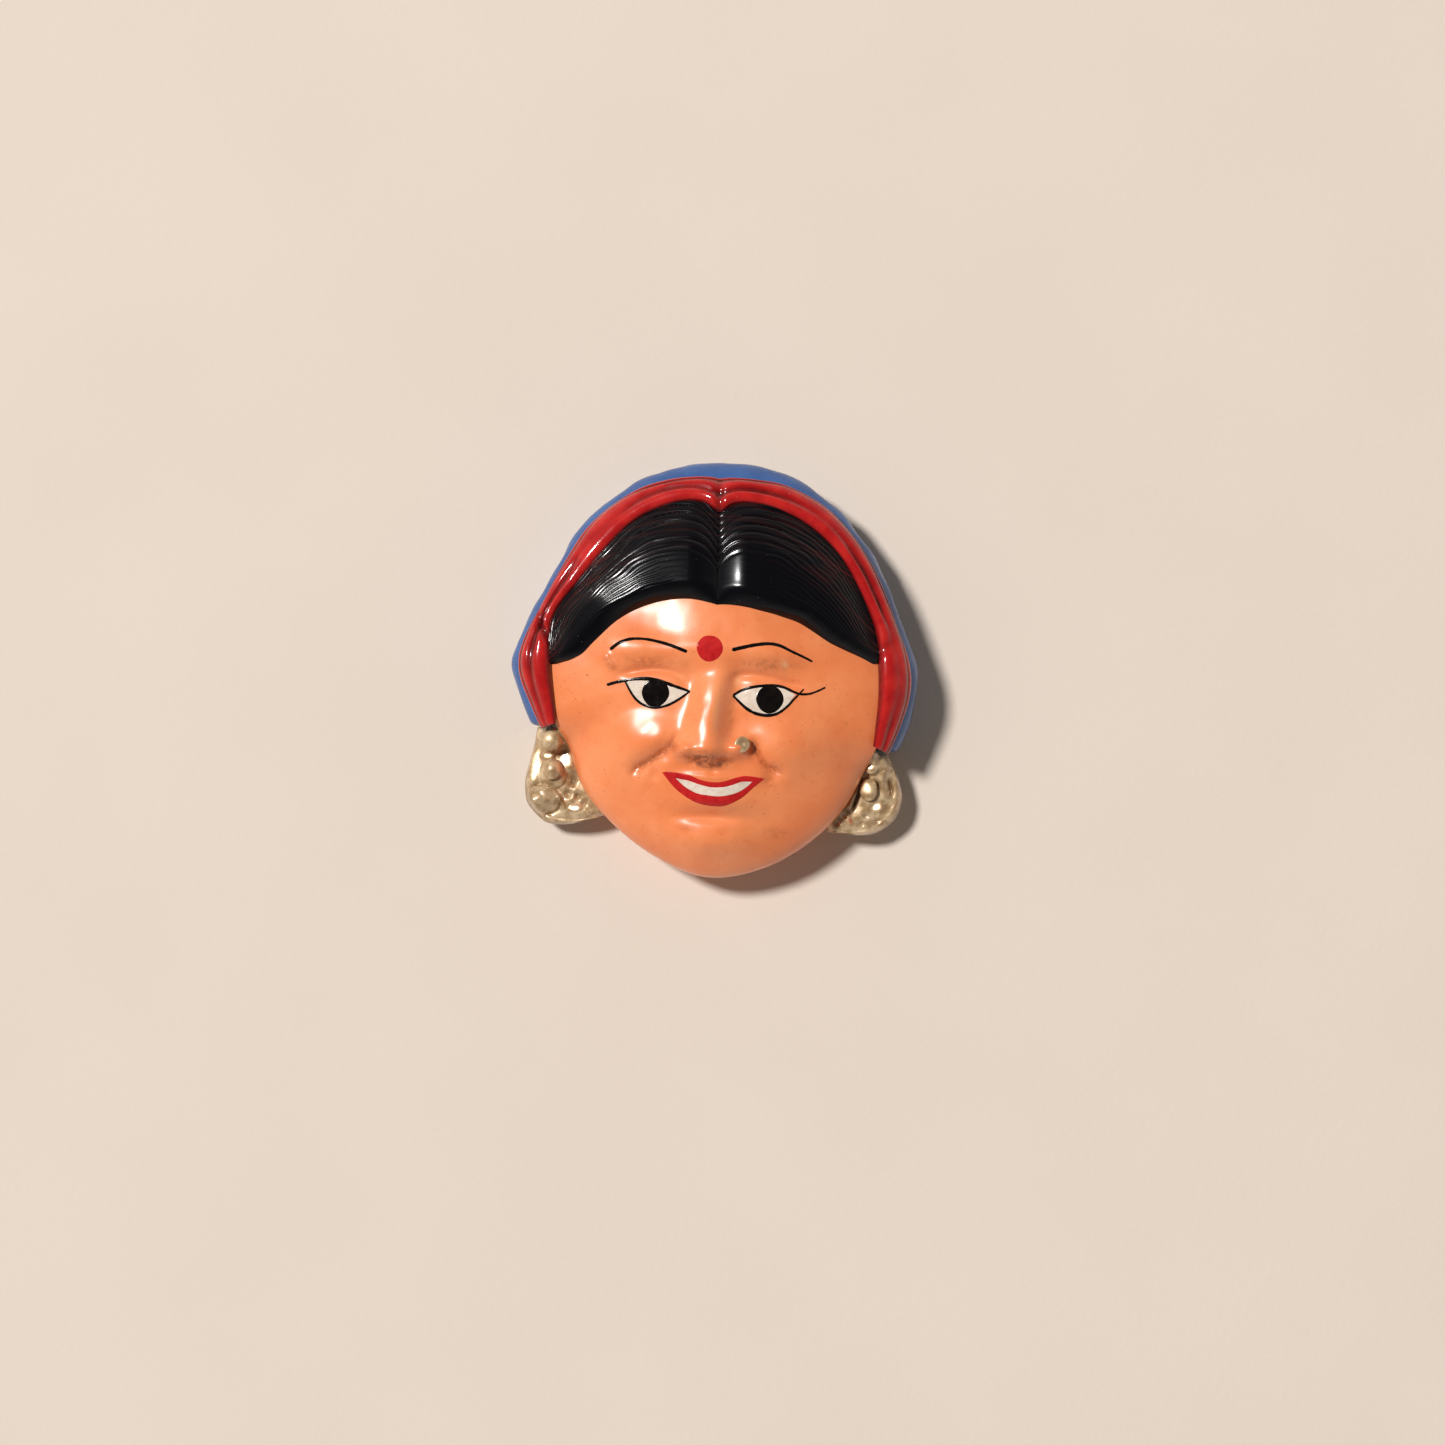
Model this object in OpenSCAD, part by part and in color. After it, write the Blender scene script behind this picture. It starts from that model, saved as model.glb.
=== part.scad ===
// Small hollow folk-craft face mask: a moulded face under centre-parted hair and a hemmed veil, with cast
// earrings at the jaw. It lies on its back, which a card closes and which holds a round fridge magnet.
// +Z comes out of the face, +Y points to the crown, and the origin is the centre of the flat back.

/* [Mask] */
// Width across the veil at its widest
mask_w = 50; // [48:1:60]
// Height of the widest line of the head above the back
edge_z = 7; // [6:0.5:9]
// Rise of the head's dome above its widest line
dome_h = 8; // [6:0.5:9]
// How far the side wall tucks in at the back
tuck = 1.6; // [0.5:0.1:2]
// Thickness of the moulded shell
wall = 2.6; // [2:0.1:3]

/* [Face] */
// Height of the nose above the dome
nose_h = 3.4; // [2.6:0.2:4.4]
// Height of the cheeks above the dome
cheek_h = 1.5; // [0.8:0.1:2.2]
// Height of the chin above the dome
chin_h = 1.2; // [0.6:0.1:1.8]
// Diameter of the stud in the nostril
nose_stud_d = 2; // [1.6:0.1:2.4]

/* [Hair and veil] */
// Thickness of the hair
hair_t = 1.9; // [1.2:0.1:2.4]
// Thickness of the veil's rolled hem
hem_t = 1.3; // [1:0.1:2]
// Width of the veil in view outside its hem
veil_show = 1.2; // [1:0.1:1.4]
// Extra height of the veil over the dome
veil_lift = 0.3; // [0.2:0.1:0.6]

/* [Earrings] */
// Thickness of a drop earring
drop_t = 4.2; // [3:0.1:5]
// Height of the middle of a drop earring above the back
drop_z = 3.8; // [3:0.1:4.2]
// Diameter of the stud at the top of the left earring
stud_d = 2.8; // [2.4:0.1:3]
// Diameter of the other beads on the earrings
bead_d = 2.2; // [1.8:0.1:2.6]

/* [Back] */
// Diameter of the disc magnet
magnet_d = 18; // [12:1:20]
// Thickness of the disc magnet
magnet_t = 3; // [2:0.5:4]
// Thickness of the card that closes the back
card_t = 1.2; // [0.8:0.1:1.6]
// Width of the shell's rim round the card
rim_w = 1.8; // [1.4:0.1:2.4]

/* [Hidden] */

// glue line between neighbouring pieces
gap = 0.1;
// every outline below is drawn for a mask 50 wide
k = mask_w / 50;
// number of points round the shell
sectors = 96;
// exponents of the dome's profile
dome_p = 2.2;
dome_q = 0.6;
// radii every 15 degrees, counter-clockwise from the wearer's left ear at 0 to the crown at 90 and round:
// the head's outline
HEAD = [22, 21.8, 22.2, 23, 23.9, 24.5, 24.5, 24.2, 23.5, 22.8, 21.8, 21.6,
        21.8, 21.2, 20.4, 21.9, 22.9, 24.2, 25.6, 25.3, 24.4, 23.4, 22.2, 21.9];
// the veil's outline and the inner edge of its hem, both from -30 to 210 degrees
VEIL = [24.6, 24.8, 25, 23.8, 23.7, 24.3, 25.1, 25.7, 25.6, 25.4, 24.9, 24.3, 23.4, 23.7, 25, 24, 23.2];
HEM = [22.1, 20.7, 20, 19.9, 19.7, 20.2, 20.6, 20.6, 20.2, 20.6, 20.4, 19.6, 19.5, 20.5, 20.1, 20.1, 21.3];
// angles where the veil and its hem end
veil_from = -23;
veil_to = 203;
// angle of the hair's parting
part_a = 91.5;
// the hairline as angle and radius, from the outer end to the parting
HAIRLINE_RIGHT = [[5, 19], [8, 17.5], [11, 16], [16, 14.4], [23, 13], [32, 11.6], [42, 10.2],
                  [58, 8.8], [76, 8.1], [91, 7.8]];
HAIRLINE_LEFT = [[92, 7.8], [100, 8.2], [112, 9], [124, 9.9], [136, 11], [147, 12.3], [157, 13.5],
                 [166, 14.6], [172, 15.4], [176, 16.2], [179, 17.4], [181, 19]];
// outer edges of the drop earrings as angle and radius
DROP_LEFT = [[204, 23], [206, 24.6], [209, 25.8], [214, 27.6], [219, 28.6], [224, 28.6], [229, 26.8],
             [233, 24.2], [236, 22.8]];
DROP_RIGHT = [[308, 24.6], [311, 25.8], [314, 27.4], [318, 28.7], [323, 29.1], [328, 28.4], [332, 26.6],
              [335, 24.9], [337, 23.4]];
// nose: height and half width against y
NOSE_RISE = [[-12, 0], [-11, 0.1], [-10.2, 0.6], [-9.4, 0.97], [-8.4, 1], [-4, 0.55], [0, 0.28], [4, 0.05], [6, 0]];
NOSE_HALF = [[-11, 2.3], [-8.5, 2.2], [-4, 1.7], [0, 1.5], [4, 3]];
cup_wall = 2.8;
cup_top = 1.2;

// ---- the head's surface -------------------------------------------------------------------------------

// smooth curve through four evenly spaced values
function blend4(a, b, c, d, f) =
    b + 0.5 * f * (c - a + f * (2 * a - 5 * b + 4 * c - d + f * (3 * (b - c) + d - a)));
function head_at(i) = HEAD[(i + 48) % 24];
function head_r(a) =
    let (i = floor(a / 15), f = a / 15 - i)
    k * blend4(head_at(i - 1), head_at(i), head_at(i + 1), head_at(i + 2), f);
// the same for an open list that starts at -30 degrees
function open_at(list, i) = list[min(max(i + 2, 0), len(list) - 1)];
function open_r(list, a) =
    let (i = floor(a / 15), f = a / 15 - i)
    k * blend4(open_at(list, i - 1), open_at(list, i), open_at(list, i + 1), open_at(list, i + 2), f);
function veil_r(a) = open_r(VEIL, a);
// the hem's edges: the inner one dips into the parting, the outer one shows more of the veil at the crown
function hem_inner(a) = open_r(HEM, a) - 1.1 * exp(-pow((a - part_a) / 4, 2));
function hem_outer(a) = veil_r(a) - veil_show - 1.1 * exp(-pow((a - 88) / 20, 2));

function hill(x, y, cx, cy, wx, wy) = exp(-pow((x - cx) / wx, 2) - pow((y - cy) / wy, 2));
function hills(x, y, cx, cy, wx, wy) = hill(x, y, cx, cy, wx, wy) + hill(x, y, -cx, cy, wx, wy);

// face relief above the dome
function relief(x, y) =
    nose_h * lookup(y, NOSE_RISE) * exp(-pow(x / lookup(y, NOSE_HALF), 2))
    + 1.1 * hills(x, y, 2.7, -9.4, 1.3, 1.3)
    + cheek_h * hills(x, y, 9.5, -8.5, 5.5, 4.8)
    + 0.8 * hills(x, y, 7, -3.2, 4, 2)
    + 0.5 * hills(x, y, 7, 2.4, 5, 1.6)
    + 1.1 * hill(x, y, 0.4, -14.6, 6, 2.8)
    + chin_h * hill(x, y, 0.3, -20.3, 5, 2.8);

// how far out a step t lies, closer together towards the edge, and its inverse
function reach(t) = 1 - pow(1 - t, 1.4);
function step_of(s) = 1 - pow(1 - min(max(s, 0), 1), 1 / 1.4);

// profile [radius, height] of a dome of radius r and height h: t runs 0 to 1 over the top and on to 2
// down the wall
function profile(r, h, t) =
    t < 1
    ? [r * reach(t), edge_z + h * pow(1 - pow(reach(t), dome_p), dome_q)]
    : [r - tuck * pow(t - 1, 1.5), edge_z * (2 - t)];
function slope(r, h, t) = profile(r, h, min(t + 0.02, 2)) - profile(r, h, max(t - 0.02, 0));
// a point at angle a, off the surface by the given distance
function off(a, r, h, t, distance) =
    let (p = profile(r, h, t), d = slope(r, h, t), n = [-d[1], d[0]] / norm(d), q = p + distance * n)
    [q[0] * cos(a), q[0] * sin(a), max(q[1], 0)];
function off_head(a, t, distance) =
    let (p = profile(head_r(a), dome_h, t))
    off(a, head_r(a), dome_h, t, distance)
    + [0, 0, t < 1 ? relief(p[0] * cos(a) / k, p[0] * sin(a) / k) : 0];
function off_veil(a, t, distance) = off(a, veil_r(a), dome_h + veil_lift, t, distance);
// height of the head's surface at a point
function head_z(x, y) =
    edge_z + dome_h * pow(1 - pow(norm([x, y]) / head_r(atan2(y, x) + 360), dome_p), dome_q) + relief(x / k, y / k);
// the step at which a dome of radius edge is r from the middle
function step_at(edge, r) = step_of(r / edge);

// ---- closed skins -------------------------------------------------------------------------------------

// closed solid between an upper and a lower grid of points
module pad(upper, lower) {
    n = len(upper);
    m = len(upper[0]);
    base = n * m;
    points = concat([for (row = upper) each row], [for (row = lower) each row]);
    faces = concat(
        [for (i = [0:n - 2], j = [0:m - 2])
            let (p = i * m + j, q = p + m)
            each [[p, p + 1, q], [p + 1, q + 1, q],
                  [base + p, base + q, base + p + 1], [base + p + 1, base + q, base + q + 1]]],
        [for (i = [0:n - 2])
            let (p = i * m, q = p + m, r = p + m - 1, s = r + m)
            each [[p, q, base + p], [q, base + q, base + p], [r, base + r, s], [s, base + r, base + s]]],
        [for (j = [0:m - 2])
            let (p = j, q = (n - 1) * m + j)
            each [[p, base + p, p + 1], [p + 1, base + p, base + p + 1],
                  [q, q + 1, base + q], [q + 1, base + q + 1, base + q]]]);
    polyhedron(points = points, faces = faces);
}

// closed solid through a stack of rings, drawn to a point at each end
module spindle(first, rings, last) {
    n = len(rings[0]);
    count = len(rings);
    end = 1 + n * count;
    points = concat([first], [for (ring = rings) each ring], [last]);
    faces = concat(
        [for (j = [0:n - 1]) [0, 1 + (j + 1) % n, 1 + j]],
        [for (i = [0:count - 2], j = [0:n - 1])
            let (p = 1 + i * n + j, q = 1 + i * n + (j + 1) % n)
            each [[p, q, p + n], [q, q + n, p + n]]],
        [for (j = [0:n - 1])
            let (p = 1 + (count - 1) * n + j, q = 1 + (count - 1) * n + (j + 1) % n)
            [p, q, end]]);
    polyhedron(points = points, faces = faces);
}

// low round boss with a flat foot
module boss(d, h) {
    rotate_extrude($fn = 40)
        intersection() {
            translate([0, h - 0.55 * d]) circle(d = 1.1 * d, $fn = 48);
            square([d / 2, h]);
        }
}

// ---- head ---------------------------------------------------------------------------------------------

top_steps = 17;
wall_steps = 4;
function around() = [for (i = [0:sectors - 1]) 360 * i / sectors];
function flat_ring(inset, z) = [for (a = around()) let (r = head_r(a) - inset) [r * cos(a), r * sin(a), z]];
function cavity_ring(s) =
    [for (a = around())
        let (r = (head_r(a) - wall - 0.6) * s)
        [r * cos(a), r * sin(a), edge_z - 1 + (dome_h + 1 - wall) * pow(1 - pow(s, dome_p), dome_q)]];

module face_shell() {
    outside = concat(
        [for (i = [1:top_steps]) [for (a = around()) off_head(a, min(i / top_steps, 0.999), 0)]],
        [for (i = [1:wall_steps]) [for (a = around()) off_head(a, 1 + i / wall_steps, 0)]]);
    inside = [for (s = [1, 0.97, 0.88, 0.7, 0.45, 0.2]) cavity_ring(s)];
    rebate = [flat_ring(tuck + rim_w, 0), flat_ring(tuck + rim_w, card_t + gap),
              flat_ring(tuck + rim_w + 1, card_t + gap)];
    color([0.96, 0.58, 0.33])
        spindle([0, 0, edge_z + dome_h + relief(0, 0)], concat(outside, rebate, inside),
                [0, 0, edge_z + dome_h - wall]);
}

// ---- hair ---------------------------------------------------------------------------------------------

hair_rows = 26;
hair_cols = 10;
// quarter-round rise over the first part of a strip
function round_in(v, over) = v >= over ? 1 : sqrt(1 - pow(1 - v / over, 2));
// combed-back hair is fullest above the forehead, thinner at the hem and grooved towards it
function hair_h(u, v) =
    gap + 0.15 + hair_t * (0.35 + 0.65 * round_in(u, 0.1)) * round_in(1.02 - u, 0.12)
    * round_in(v + 0.03, 0.3) * (1 - 0.35 * v * v) - 0.12 * v * (1 + cos(1440 * v)) * sin(180 * u);

module hair(line, from, to) {
    angles = [for (i = [0:hair_rows]) from + (to - from) * i / hair_rows];
    function across(a, j) =
        let (inner = step_at(head_r(a), k * lookup(a, line)), outer = step_at(head_r(a), hem_inner(a) - gap))
        inner + (outer - inner) * j / hair_cols;
    function share(a) = abs(a - (from < part_a ? from : to)) / abs(to - from);
    upper = [for (a = angles) [for (j = [0:hair_cols])
        off_head(a, across(a, j), hair_h(share(a), j / hair_cols))]];
    lower = [for (a = angles) [for (j = [0:hair_cols]) off_head(a, across(a, j), gap)]];
    color([0.03, 0.03, 0.04]) pad(upper, lower);
}
module hair_right() { hair(HAIRLINE_RIGHT, 5, part_a - 0.3); }
module hair_left() { hair(HAIRLINE_LEFT, part_a + 0.3, 181); }

// ---- veil and its rolled hem --------------------------------------------------------------------------

veil_rows = 64;
hem_cols = 8;
veil_cols = 9;
// step at which the veil ends on the wall, just above the back
veil_foot = 1.94;
function veil_angles() = [for (i = [0:veil_rows]) veil_from + (veil_to - veil_from) * i / veil_rows];
// round-edged roll with one groove along it
function hem_h(v) =
    gap + 0.2 + hem_t * (1 - 0.4 * v * v) * round_in(v + 0.02, 0.25) * (0.4 + 0.6 * round_in(1.02 - v, 0.2))
    - 0.3 * exp(-pow((v - 0.5) / 0.09, 2));

module veil_hem() {
    function across(a, j) =
        let (inner = step_at(veil_r(a), hem_inner(a)), outer = step_at(veil_r(a), hem_outer(a)))
        inner + (outer - inner) * j / hem_cols;
    upper = [for (a = veil_angles()) [for (j = [0:hem_cols]) off_veil(a, across(a, j), hem_h(j / hem_cols))]];
    lower = [for (a = veil_angles()) [for (j = [0:hem_cols]) off_veil(a, across(a, j), gap)]];
    color([0.78, 0.1, 0.12]) pad(upper, lower);
}

// the veil starts under the hem and wraps the head down to the back
module veil() {
    function across(edge, a, j) =
        let (inner = step_at(edge, hem_inner(a)))
        inner + (veil_foot - inner) * j / veil_cols;
    upper = [for (a = veil_angles()) [for (j = [0:veil_cols]) off_veil(a, across(veil_r(a), a, j), 0)]];
    lower = [for (a = veil_angles()) [for (j = [0:veil_cols]) off_head(a, across(head_r(a), a, j), gap)]];
    color([0.2, 0.42, 0.68]) pad(upper, lower);
}

// ---- earrings -----------------------------------------------------------------------------------------

drop_rows = 22;
drop_cols = 7;
drop_rim = 0.5;
// a cast drop: thick where it meets the jaw, round at the rim
module drop(edge) {
    from = edge[0][0];
    to = edge[len(edge) - 1][0];
    angles = [for (i = [0:drop_rows]) from + (to - from) * i / drop_rows];
    function half_t(u, v) =
        drop_rim / 2 + (drop_t - drop_rim) / 2 * sqrt(max(1 - pow(v, 4), 0)) * round_in(min(u, 1 - u), 0.2);
    function at(a, v, z) =
        let (inner = profile(head_r(a), dome_h, 2 - z / edge_z)[0] + gap,
             r = inner + (k * lookup(a, edge) - inner) * v)
        [r * cos(a), r * sin(a), z];
    function share(i) = 0.01 + 0.98 * i / drop_rows;
    upper = [for (i = [0:drop_rows]) [for (j = [0:drop_cols])
        at(angles[i], j / drop_cols, drop_z + half_t(share(i), j / drop_cols))]];
    lower = [for (i = [0:drop_rows]) [for (j = [0:drop_cols])
        at(angles[i], j / drop_cols, drop_z - half_t(share(i), j / drop_cols))]];
    pad(upper, lower);
}
module left_earring() { color([0.75, 0.66, 0.45]) drop(DROP_LEFT); }
module right_earring() { color([0.75, 0.66, 0.45]) drop(DROP_RIGHT); }

module on_drop(x, y) { translate([k * x, k * y, drop_z + drop_t / 2 + gap]) children(); }
module left_ear_stud() { color([0.78, 0.69, 0.48]) on_drop(-20.3, -10.4) boss(stud_d, 1.6); }
module left_ear_bead() { color([0.78, 0.69, 0.48]) on_drop(-20.2, -13.7) boss(bead_d, 1.4); }
module right_ear_stud() { color([0.78, 0.69, 0.48]) on_drop(21, -11.3) boss(bead_d, 1.4); }
module right_ear_bead() { color([0.78, 0.69, 0.48]) on_drop(20.5, -14) boss(bead_d, 1.4); }

module nose_stud() {
    x = 3.7;
    y = -9.3;
    color([0.75, 0.66, 0.45])
        translate([k * x, k * y, head_z(k * x, k * y)])
        rotate([0, 42, 0])
        boss(nose_stud_d, 1);
}

// ---- back ---------------------------------------------------------------------------------------------

module backing_card() {
    inset = tuck + rim_w + gap;
    color([0.55, 0.5, 0.44])
        difference() {
            linear_extrude(card_t)
                polygon([for (p = flat_ring(inset, 0)) [p[0], p[1]]]);
            translate([0, 0, -1]) cylinder(d = magnet_d + 2 * gap, h = card_t + 2, $fn = 96);
        }
}

module magnet() {
    color([0.22, 0.22, 0.23]) cylinder(d = magnet_d, h = magnet_t, $fn = 96);
}

module magnet_cup() {
    color([0.7, 0.66, 0.58])
        difference() {
            translate([0, 0, card_t + gap])
                cylinder(d = magnet_d + 2 * (gap + cup_wall), h = magnet_t - card_t + cup_top, $fn = 96);
            cylinder(d = magnet_d + 2 * gap, h = magnet_t + gap, $fn = 96);
        }
}

face_shell();
hair_left();
hair_right();
veil();
veil_hem();
left_ear_stud();
left_ear_bead();
left_earring();
right_ear_stud();
right_ear_bead();
right_earring();
nose_stud();
backing_card();
magnet();
magnet_cup();
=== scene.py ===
"""Looks of a small moulded folk-craft face mask: enamelled head, combed hair, hemmed veil, cast earrings.

Every visible piece is a closed mesh worked out from the same outlines and profiles as the CAD model.
Lengths in this file are millimetres and angles are degrees, until a mesh is made. +Z comes out of the face
and +Y points to the crown. The card, the magnet and its cup stay as CAD nodes and get better materials.
"""
import math

import bpy
import numpy as np
from mathutils import Euler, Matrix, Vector


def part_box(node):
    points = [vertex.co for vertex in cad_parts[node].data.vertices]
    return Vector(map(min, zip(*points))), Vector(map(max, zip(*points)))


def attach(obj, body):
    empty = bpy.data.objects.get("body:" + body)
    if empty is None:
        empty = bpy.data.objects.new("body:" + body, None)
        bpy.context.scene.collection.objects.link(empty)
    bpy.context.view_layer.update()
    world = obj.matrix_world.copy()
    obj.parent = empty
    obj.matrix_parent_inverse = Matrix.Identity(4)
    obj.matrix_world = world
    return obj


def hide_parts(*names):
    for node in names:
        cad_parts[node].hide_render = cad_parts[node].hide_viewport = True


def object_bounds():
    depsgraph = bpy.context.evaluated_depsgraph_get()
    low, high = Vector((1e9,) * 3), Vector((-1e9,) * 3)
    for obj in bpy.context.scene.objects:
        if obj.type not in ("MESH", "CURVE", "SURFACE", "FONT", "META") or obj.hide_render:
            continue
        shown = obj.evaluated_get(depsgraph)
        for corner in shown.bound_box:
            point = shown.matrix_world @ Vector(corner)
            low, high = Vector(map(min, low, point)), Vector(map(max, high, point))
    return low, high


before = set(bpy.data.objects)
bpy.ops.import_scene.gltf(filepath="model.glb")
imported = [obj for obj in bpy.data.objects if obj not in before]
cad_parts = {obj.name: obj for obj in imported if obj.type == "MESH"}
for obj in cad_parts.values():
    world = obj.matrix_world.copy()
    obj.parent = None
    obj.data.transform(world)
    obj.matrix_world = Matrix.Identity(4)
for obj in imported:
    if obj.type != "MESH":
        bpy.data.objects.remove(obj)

cad_lo, cad_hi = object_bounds()
MM = 0.001
SCENE = bpy.context.scene

# ---- driving dimensions, as in the CAD model ----

EDGE_Z = 7.0  # height of the widest line of the head
DOME_H = 8.0  # rise of the head above it
DOME_P, DOME_Q = 2.2, 0.6  # exponents of the dome's profile
SHOULDER = 0.2  # extra roundness where the dome meets the side wall
TUCK = 1.6  # how far the side wall draws in at the back
WALL = 2.6
RIM_W = 1.8
CARD_T = (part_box("backing_card")[1].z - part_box("backing_card")[0].z) / MM
GAP = 0.1
VEIL_LIFT = 0.3
DROP_Z = 3.8  # middle of a drop earring
DROP_T = 4.2
PARTING = 91.5
VEIL_FROM, VEIL_TO = -23.0, 201.5
OUTLINE_STEP = 15.0

# radii every 15 degrees, counter-clockwise from the wearer's left ear
HEAD = np.array([22, 21.8, 22.2, 23, 23.9, 24.5, 24.5, 24.2, 23.5, 22.8, 21.8, 21.6,
                 21.8, 21.2, 20.4, 21.9, 22.9, 24.2, 25.6, 25.3, 24.4, 23.4, 22.2, 21.9])
# from -30 to 210 degrees
VEIL = np.array([24.6, 24.8, 25, 23.8, 23.7, 24.3, 25.1, 25.7, 25.6, 25.4, 24.9, 24.3, 23.4, 23.7, 25,
                 24, 23.2])
HEM = np.array([22.1, 20.7, 20, 19.9, 19.7, 20.2, 20.6, 20.6, 20.2, 20.6, 20.4, 19.6, 19.5, 20.5, 20.1,
                20.1, 21.3])
# hairlines and earring outlines as (angle, radius)
HAIRLINE_RIGHT = [(5, 19.2), (8, 17.6), (11, 16.1), (16, 14.3), (23, 12.9), (32, 11.6), (42, 10.2), (58, 8.8),
                  (76, 8.1), (91.5, 7.8)]
HAIRLINE_LEFT = [(91.5, 7.8), (100, 8.2), (112, 9), (124, 9.9), (136, 11), (147, 12.2), (157, 13.4),
                 (166, 14.5), (172, 15.5), (176, 16.3), (179, 17.6), (181, 19.4)]
DROP_LEFT = [(200.8, 23.2), (205, 24.2), (209, 25.6), (214, 27.6), (219, 28.6), (224, 28.4), (229, 26.6),
             (233, 24.2), (235.5, 22.8)]
DROP_RIGHT = [(308, 24.6), (311, 25.8), (314, 27.2), (318, 28.5), (323, 29), (328, 28.3), (332, 26.6),
              (335, 25), (337, 23.9)]

# ---- numbers and curves ----


def smooth(x, lo=0.0, hi=1.0):
    """0 at lo, 1 at hi, and smooth between them."""
    t = np.clip((np.asarray(x, float) - lo) / (hi - lo), 0, 1)
    return t * t * (3 - 2 * t)


def vectors(*parts):
    """Array of vectors from one array or number for each coordinate."""
    return np.stack(np.broadcast_arrays(*parts), axis=-1)


def directions(v):
    return v / np.maximum(np.linalg.norm(v, axis=-1, keepdims=True), 1e-12)


def quarter(t):
    """Quarter of a circle: 0 at 0, and 1 with a flat tangent from 1 on."""
    return np.sqrt(1 - (1 - np.clip(t, 0, 1)) ** 2)


def bell(t, width=1.0):
    return np.exp(-((t / width) ** 2))


def catmull(a, b, c, d, f):
    return b + 0.5 * f * (c - a + f * (2 * a - 5 * b + 4 * c - d + f * (3 * (b - c) + d - a)))


def outline(radii, angle, start=None):
    """Radius of an outline at an angle. With a start the list is open, and otherwise it is a closed ring."""
    u = (np.asarray(angle, float) - (start or 0)) / OUTLINE_STEP
    i = np.floor(u).astype(int)
    near = [i + n for n in (-1, 0, 1, 2)]
    if start is None:
        near = [n % len(radii) for n in near]
    else:
        near = [np.clip(n, 0, len(radii) - 1) for n in near]
    return catmull(*(radii[n] for n in near), u - i)


def along(points, x):
    """Smooth curve through (x, y) points, with flat tangents where the points turn back."""
    px, py = np.array(points, float).T
    slopes = np.diff(py) / np.diff(px)
    same = slopes[:-1] * slopes[1:] > 0
    inner = np.where(same, 2 * slopes[:-1] * slopes[1:] / np.where(same, slopes[:-1] + slopes[1:], 1), 0)
    tangents = np.concatenate([slopes[:1], inner, slopes[-1:]])
    x = np.clip(np.asarray(x, float), px[0], px[-1])
    i = np.clip(np.searchsorted(px, x, side="right") - 1, 0, len(slopes) - 1)
    w = px[i + 1] - px[i]
    t = (x - px[i]) / w
    return (py[i] * (1 + 2 * t) * (1 - t) ** 2 + py[i + 1] * t * t * (3 - 2 * t)
            + w * (tangents[i] * t * (1 - t) ** 2 - tangents[i + 1] * t * t * (1 - t)))


def path(points, count):
    """Evenly spaced points on a smooth curve through 2-D or 3-D points."""
    p = np.array(points, float)
    p = np.vstack([2 * p[0] - p[1], p, 2 * p[-1] - p[-2]])
    fine = np.linspace(0, len(points) - 1 - 1e-9, 60 * len(points))
    i = fine.astype(int)
    f = (fine - i)[:, None]
    q = catmull(p[i], p[i + 1], p[i + 2], p[i + 3], f)
    run = np.concatenate([[0], np.cumsum(np.linalg.norm(np.diff(q, axis=0), axis=1))])
    want = np.linspace(0, run[-1], count)
    return np.stack([np.interp(want, run, q[:, n]) for n in range(q.shape[1])], axis=1)


def ripple(points, wavelength, seed, waves=14):
    """Smooth random field in about -1 to 1, the same on every run."""
    rng = np.random.default_rng(seed)
    points = np.asarray(points, float)
    turn = rng.normal(size=(waves, points.shape[-1]))
    turn = directions(turn) * 2 * math.pi / wavelength * rng.uniform(0.7, 1.4, (waves, 1))
    phase = rng.uniform(0, 2 * math.pi, waves)
    total = np.zeros(points.shape[:-1])
    for k, p in zip(turn, phase):
        total += np.sin(points @ k + p)
    return total / math.sqrt(waves)


def turned(x, y, cx, cy, turn):
    """Coordinates from a middle, along axes that are turned by an angle."""
    c, s = math.cos(math.radians(turn)), math.sin(math.radians(turn))
    return (x - cx) * c + (y - cy) * s, (y - cy) * c - (x - cx) * s


def hill(x, y, cx, cy, wx, wy, turn=0.0):
    """Gaussian mound of half widths wx and wy, turned by an angle."""
    u, v = turned(x, y, cx, cy, turn)
    return np.exp(-((u / wx) ** 2) - (v / wy) ** 2)


def hills(x, y, *rows):
    """Sum of mounds, each given as (height, cx, cy, wx, wy) and, where it isn't upright, its turn."""
    return sum(height * hill(x, y, *place) for height, *place in rows)


def both(height, cx, cy, wx, wy, turn=0.0):
    """The rows of a mound and its mirror image."""
    return (height, cx, cy, wx, wy, turn), (height, -cx, cy, wx, wy, -turn)


def groove(x, y, points, width, fade=0.25):
    """1 on a smooth path and 0 away from it, fading out over each end."""
    line = path(points, 36)
    x, y = np.asarray(x, float), np.asarray(y, float)
    nearest, share = np.full(x.shape, 1e9), np.zeros(x.shape)
    for n, (p, q) in enumerate(zip(line, line[1:])):
        dx, dy = q - p
        t = np.clip(((x - p[0]) * dx + (y - p[1]) * dy) / (dx * dx + dy * dy), 0, 1)
        d2 = (x - p[0] - t * dx) ** 2 + (y - p[1] - t * dy) ** 2
        share = np.where(d2 < nearest, (n + t) / (len(line) - 1), share)
        nearest = np.minimum(d2, nearest)
    return np.exp(-nearest / width**2) * smooth(share, 0, fade) * smooth(1 - share, 0, fade)


# ---- the head's surface ----


def head_r(a):
    return outline(HEAD, a)


def veil_r(a):
    return outline(VEIL, a, -30)


def crown_r(a):
    """Outline that sets the head's height. It carries on under the hem, and is the head's own below it."""
    a = (np.asarray(a, float) + 90) % 360 - 90
    under_veil = smooth(a, VEIL_FROM - 9, VEIL_FROM + 6) * (1 - smooth(a, VEIL_TO - 6, VEIL_TO + 9))
    return head_r(a) + (np.maximum(veil_r(a), head_r(a)) - head_r(a)) * 0.92 * under_veil


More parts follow.
